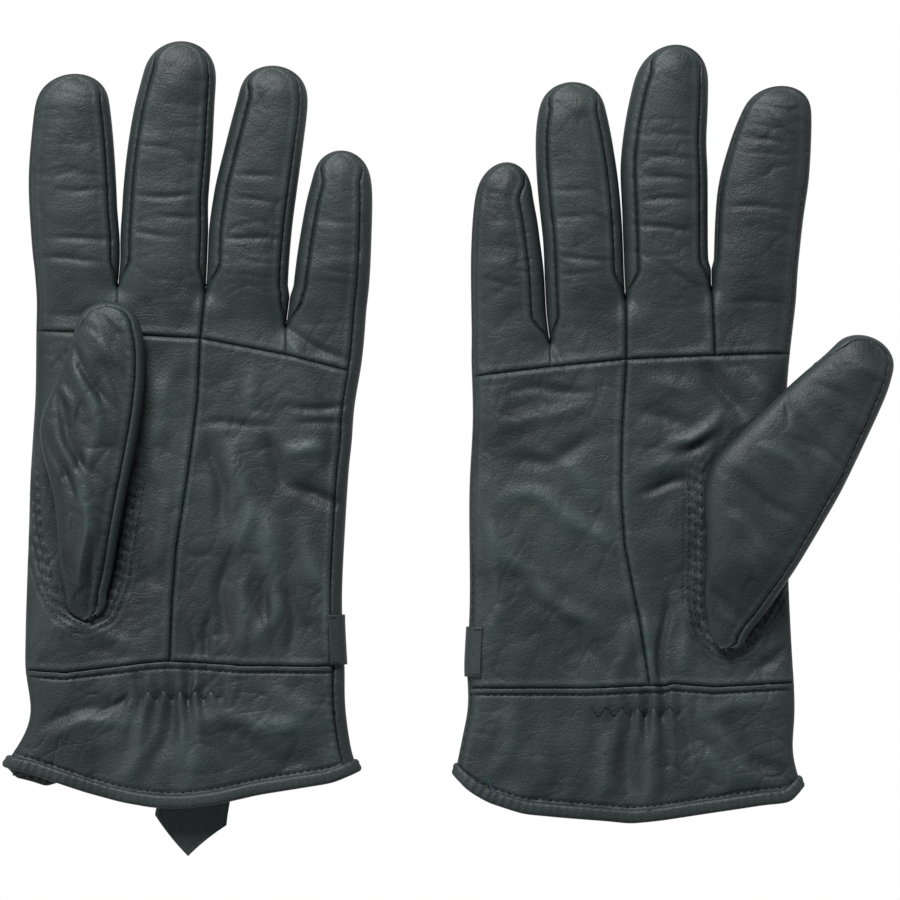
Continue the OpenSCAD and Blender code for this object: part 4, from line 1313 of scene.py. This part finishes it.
for glove in FINGER_ORDER:
    lo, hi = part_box(f"{glove}_wrist_elastic")
    across = np.linspace(lo.x / MM + 0.4, hi.x / MM - 0.4, 90)[None, :]
    up = np.linspace(lo.y / MM, hi.y / MM, 8)[:, None]
    z = 8.9 + 0.12 * np.sin(across * 2.4) + 0 * up
    band = sheet_mesh(f"{glove}_elastic_band", np.stack([across + 0 * up, up + 0 * across, z], 2),
                      lambda c: (0, 0, 1), thickness=0.6)
    dress(band, elastic, f"{glove}_hand", [f"{glove}_wrist_elastic"])

    mid_x, mid_y, _, (first, last) = GATHER[glove]
    x = np.linspace(first, last, 160)
    y = mid_y + zigzag(x)
    z = cuff_surface(glove, x, y) + 0.18
    zig = np.column_stack([x, y, z])
    x = np.linspace(edge_x(glove, -1, -75) + 5.5, edge_x(glove, 1, -75) - 5.5, 300)
    y = cuff_y(glove, x) - 2.1
    top_run = np.column_stack([x, y, cuff_surface(glove, x, y) - 0.22])
    line = hem_line[glove]
    inside = (line[:, 0] > line[0, 0] + 6) & (line[:, 0] < line[-1, 0] - 6)
    x, y = line[inside, 0], line[inside, 1] + BINDING + 1.0
    hem_run = np.column_stack([x, y, cuff_surface(glove, x, y) - 0.15])
    stitches(f"{glove}_cuff_stitching", [top_run, hem_run], glove)
    stitches(f"{glove}_zigzag_stitching", [zig], glove, pitch=1.55, length=1.25)
    if glove == "left":
        y = np.linspace(-101, 24, 200)
        x = edge_x(glove, 1, y) - OUTER_SEAM[glove] - 0.7
        side_run = np.column_stack([x, y, front_surface(glove, x, y) - 0.25])
        stitches("left_side_seam_stitching", [side_run], glove)


# ---- Thumb hole stitching ----
# Rows of stitches run round the thumb hole, each beside a pucker. Only the rows that the thumb
# leaves open are sewn, towards the palm and below.

for glove, points in OVAL.items():
    ring = eased(points + points[:1], 1.6)
    outward = -inward(ring)
    if within(points, *(ring + outward * 1.0)[len(ring) // 3][:, None].reshape(2, 1)).any():
        outward = -outward
    runs = []
    for row in (1, 2, 3):
        line = ring + outward * (row * ROW_GAP - 0.9)
        limit = edge_x(glove, THUMB_ON[glove], line[:, 1]) - THUMB_ON[glove] * 2.0
        keep = (line[:, 1] < -10) & ((line[:, 0] - limit) * THUMB_ON[glove] < 0)
        parts = np.split(line, np.where(np.diff(keep.astype(int)) != 0)[0] + 1)
        for part in parts:
            shown = (part[:, 1] < -10).all() and len(part) > 12
            past_edge = (part[:, 0] - edge_x(glove, THUMB_ON[glove], part[:, 1])) * THUMB_ON[glove]
            if shown and (past_edge < -1.9).all():
                z = front_surface(glove, part[:, 0], part[:, 1]) - 0.1
                runs.append(np.column_stack([part, z]))
    stitches(f"{glove}_thumb_hole_stitching", runs, glove, pitch=2.0, length=1.4)


# ---- Side tab, strap and its studs ----
# A tab of leather is caught in the outer side seam and carries the strap on a rivet. The strap lies
# under the wrist and closes on a press stud. On the left glove it hangs loose past the hem.

# Place of the rivet, heading of the strap from it, the way it curves, and place of the stud
STRAP = {"left": ((-44.0, -63.0), 209.4, 1, (-122.0, -62.4)),
         "right": ((17.0, -67.0), 30.3, -1, (94.0, -65.6))}
STRAP_CHORD, STRAP_TURN = 83.4, 60.6
ROOT_WIDTH, END_WIDTH = 17.0, 24.0
STRAP_SHEET, STRAP_UNDER = 0.8, 0.8
TAB_SHEET = 0.9

metal, metal_shader, metal_place = new_material("gunmetal", 0.3, metallic=1.0)
rub = metal_place.node("ShaderNodeTexNoise", {"Vector": metal_place, "Scale": 900.0, "Detail": 3.0})
rub.mix(colour(0.10, 0.10, 0.105), colour(0.24, 0.24, 0.25)).feed(metal_shader.inputs["Base Color"])
(0.24 + rub * 0.2).feed(metal_shader.inputs["Roughness"])


def spun(bm, profile, at):
    """Adds a turned part to a mesh, from its profile of radius and height."""
    verts = [bm.verts.new(((at[0] + r) * MM, at[1] * MM, z * MM)) for r, z in profile]
    edges = [bm.edges.new(pair) for pair in zip(verts, verts[1:])]
    bmesh.ops.spin(bm, geom=verts + edges, cent=(at[0] * MM, at[1] * MM, 0), axis=(0, 0, 1),
                   angle=2 * math.pi, steps=36, use_merge=True)


for glove, (rivet, heading, curve, stud) in STRAP.items():
    hand = f"{glove}_hand"
    side = -THUMB_ON[glove]
    rows = np.linspace(-ROOT_WIDTH / 2 + 0.3, ROOT_WIDTH / 2 - 0.3, 40) + rivet[1]
    # The tab from its flap on the palm, over the edge, to its round pad under the wrist
    over = np.concatenate([np.linspace(4.6, 0.1, 16), [0.0], -np.linspace(0.1, 1, 34)])
    grid = []
    for y in rows:
        edge = edge_x(glove, side, y)
        pad = ROOT_WIDTH / 2 * math.sqrt(max(1 - ((y - rivet[1]) / (ROOT_WIDTH / 2)) ** 2, 0))
        inner_end = abs(edge - rivet[0]) + pad
        deep = np.where(over >= 0, over, over ** 2 * inner_end)
        x = edge - side * deep
        top, middle, low = levels(np.array(y))
        z = np.where(over >= 0, middle + (top - middle) * cushion(deep, FRONT_RADIUS),
                     middle - (middle - low) * cushion(deep, UNDER_RADIUS))
        path = np.column_stack([x, z])
        slope = np.gradient(path, axis=0)
        slope /= np.maximum(np.linalg.norm(slope, axis=1, keepdims=True), 1e-9)
        outward = np.column_stack([-slope[:, 1], slope[:, 0]]) * side
        path = path + outward * (TAB_SHEET + 0.05)
        path[:, 1] = np.maximum(path[:, 1], 2.2)
        grid.append(np.column_stack([path[:, 0], np.full(len(path), y), path[:, 1]]))
    heart = Vector((edge_x(glove, side, rivet[1]) - side * 8, rivet[1], 7.0))
    tab = sheet_mesh(f"{glove}_side_loop", np.array(grid),
                     lambda c, m=heart: Vector((c[0] - m[0], 0, c[2] - m[2])),
                     thickness=TAB_SHEET, painted_light_and_tone=np.full((40, 51), 0.3))
    dress(tab, binding_leather, hand, [f"{glove}_side_tab"])
    flap = np.array(grid)[:, :10]
    stitches(f"{glove}_tab_stitching", [row[1:9] + [0, 0, 0.1] for row in (flap[2], flap[-3])],
             glove, 1.9, 1.3)

    length = STRAP_CHORD / (2 * math.sin(math.radians(STRAP_TURN / 2))) * math.radians(STRAP_TURN)
    shoulder = 1 - END_WIDTH / 2 / length
    s = np.linspace(0, 1, 200)
    turn = np.radians(heading + curve * STRAP_TURN * s)
    step = np.stack([np.cos(turn), np.sin(turn)], 1) * length / 199
    spine = np.array(rivet) + np.concatenate([[[0, 0]], np.cumsum((step[1:] + step[:-1]) / 2, axis=0)])
    left_of = np.stack([-np.sin(turn), np.cos(turn)], 1)
    half = (ROOT_WIDTH + (END_WIDTH - ROOT_WIDTH) * np.minimum(s / shoulder, 1)) / 2
    half = half * np.clip((1 - s) / (1 - shoulder), 0, 1)
    back_steps = np.sin(np.linspace(-math.pi / 2, 0, 16)[:-1]) * ROOT_WIDTH / 2
    start_way = np.array([math.cos(turn[0]), math.sin(turn[0])])
    spine = np.concatenate([np.array(rivet) + start_way * back_steps[:, None], spine])
    half = np.concatenate([np.sqrt(np.maximum((ROOT_WIDTH / 2) ** 2 - back_steps ** 2, 0)), half])
    left_of = np.concatenate([np.repeat(left_of[:1], 15, axis=0), left_of])
    across = np.linspace(-1, 1, 22)[None, :]
    plan = spine[:, None] + left_of[:, None] * (across * np.maximum(half, 0.02)[:, None])[..., None]
    crown = (1 - across ** 6) * 0.05
    z = STRAP_UNDER + STRAP_SHEET - 0.05 + crown + 0 * half[:, None]
    groove = np.exp(-(((1 - np.abs(across)) * half[:, None] - 2.0) / 0.3) ** 2) * 0.12
    strap = sheet_mesh(f"{glove}_strap_leather", np.dstack([plan, z - groove]), lambda c: (0, 0, 1),
                       thickness=STRAP_SHEET - 0.05, painted_light_and_tone=0.3 + 0.3 * np.abs(across) ** 8 + 0 * z)
    dress(strap, outer_leather, f"{glove}_strap", [f"{glove}_strap"])

    # The cap below the strap, the washer above it, and the stud that the strap closes on
    bm = bmesh.new()
    spun(bm, [(0, 0.12), (2.2, 0.16), (3.0, 0.34), (3.2, 0.56), (3.0, 0.74), (0, 0.76)], rivet)
    spun(bm, [(0, 1.68), (1.9, 1.7), (1.9, 3.0), (2.8, 3.05), (2.8, 3.2), (0, 3.2)], rivet)
    spun(bm, [(0, 1.75), (1.3, 1.78), (1.8, 2.0), (1.6, 2.3), (2.9, 2.45),
              (3.4, 2.7), (3.4, 3.1), (0, 3.15)], stud)
    bmesh.ops.remove_doubles(bm, verts=bm.verts, dist=0.00001)
    bmesh.ops.recalc_face_normals(bm, faces=bm.faces)
    studs = finished(f"{glove}_rivet_and_stud", bm)
    dress(studs, metal, hand, [f"{glove}_press_studs"])


# ---- Loose threads ----
# Two ends of blue basting thread were left in the hem of the right glove, at its outer corner.

basting, basting_shader, basting_place = new_material("basting_thread", 0.6, specular=0.3)
twist = basting_place.node("ShaderNodeTexNoise", {"Vector": basting_place, "Scale": 1500.0})
twist.mix(colour(0.010, 0.030, 0.065), colour(0.035, 0.075, 0.13)).feed(basting_shader.inputs["Base Color"])
LOOSE = [[(13.2, -108.6), (14.2, -111.5), (15.4, -114.2), (17.0, -116.6)],
         [(6.0, -109.6), (9.5, -112.4), (13.0, -114.6), (17.5, -116.9)]]
for k, points in enumerate(LOOSE):
    path = eased(points, 0.8)
    path = np.column_stack([path, cuff_surface("right", path[:, 0], path[:, 1]) + 0.35])
    along = np.gradient(path, axis=0)
    along /= np.linalg.norm(along, axis=1, keepdims=True)
    aside = np.cross(along, [0, 0, 1.0])
    over = np.cross(aside, along)
    angle = np.linspace(0, 2 * math.pi, 9)[None, :, None]
    grid = path[:, None] + 0.16 * (aside[:, None] * np.cos(angle) + over[:, None] * np.sin(angle))
    tree = KDTree(len(path))
    for i, point in enumerate(path):
        tree.insert(point, i)
    tree.balance()
    strand = sheet_mesh(f"right_loose_thread_{k + 1}", grid, lambda c, t=tree: Vector(c) - t.find(c)[0],
                        thickness=0)
    dress(strand, basting, "right_hand")

size = {"cad": cad_box, "visual": [list(map(float, corner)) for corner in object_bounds()]}
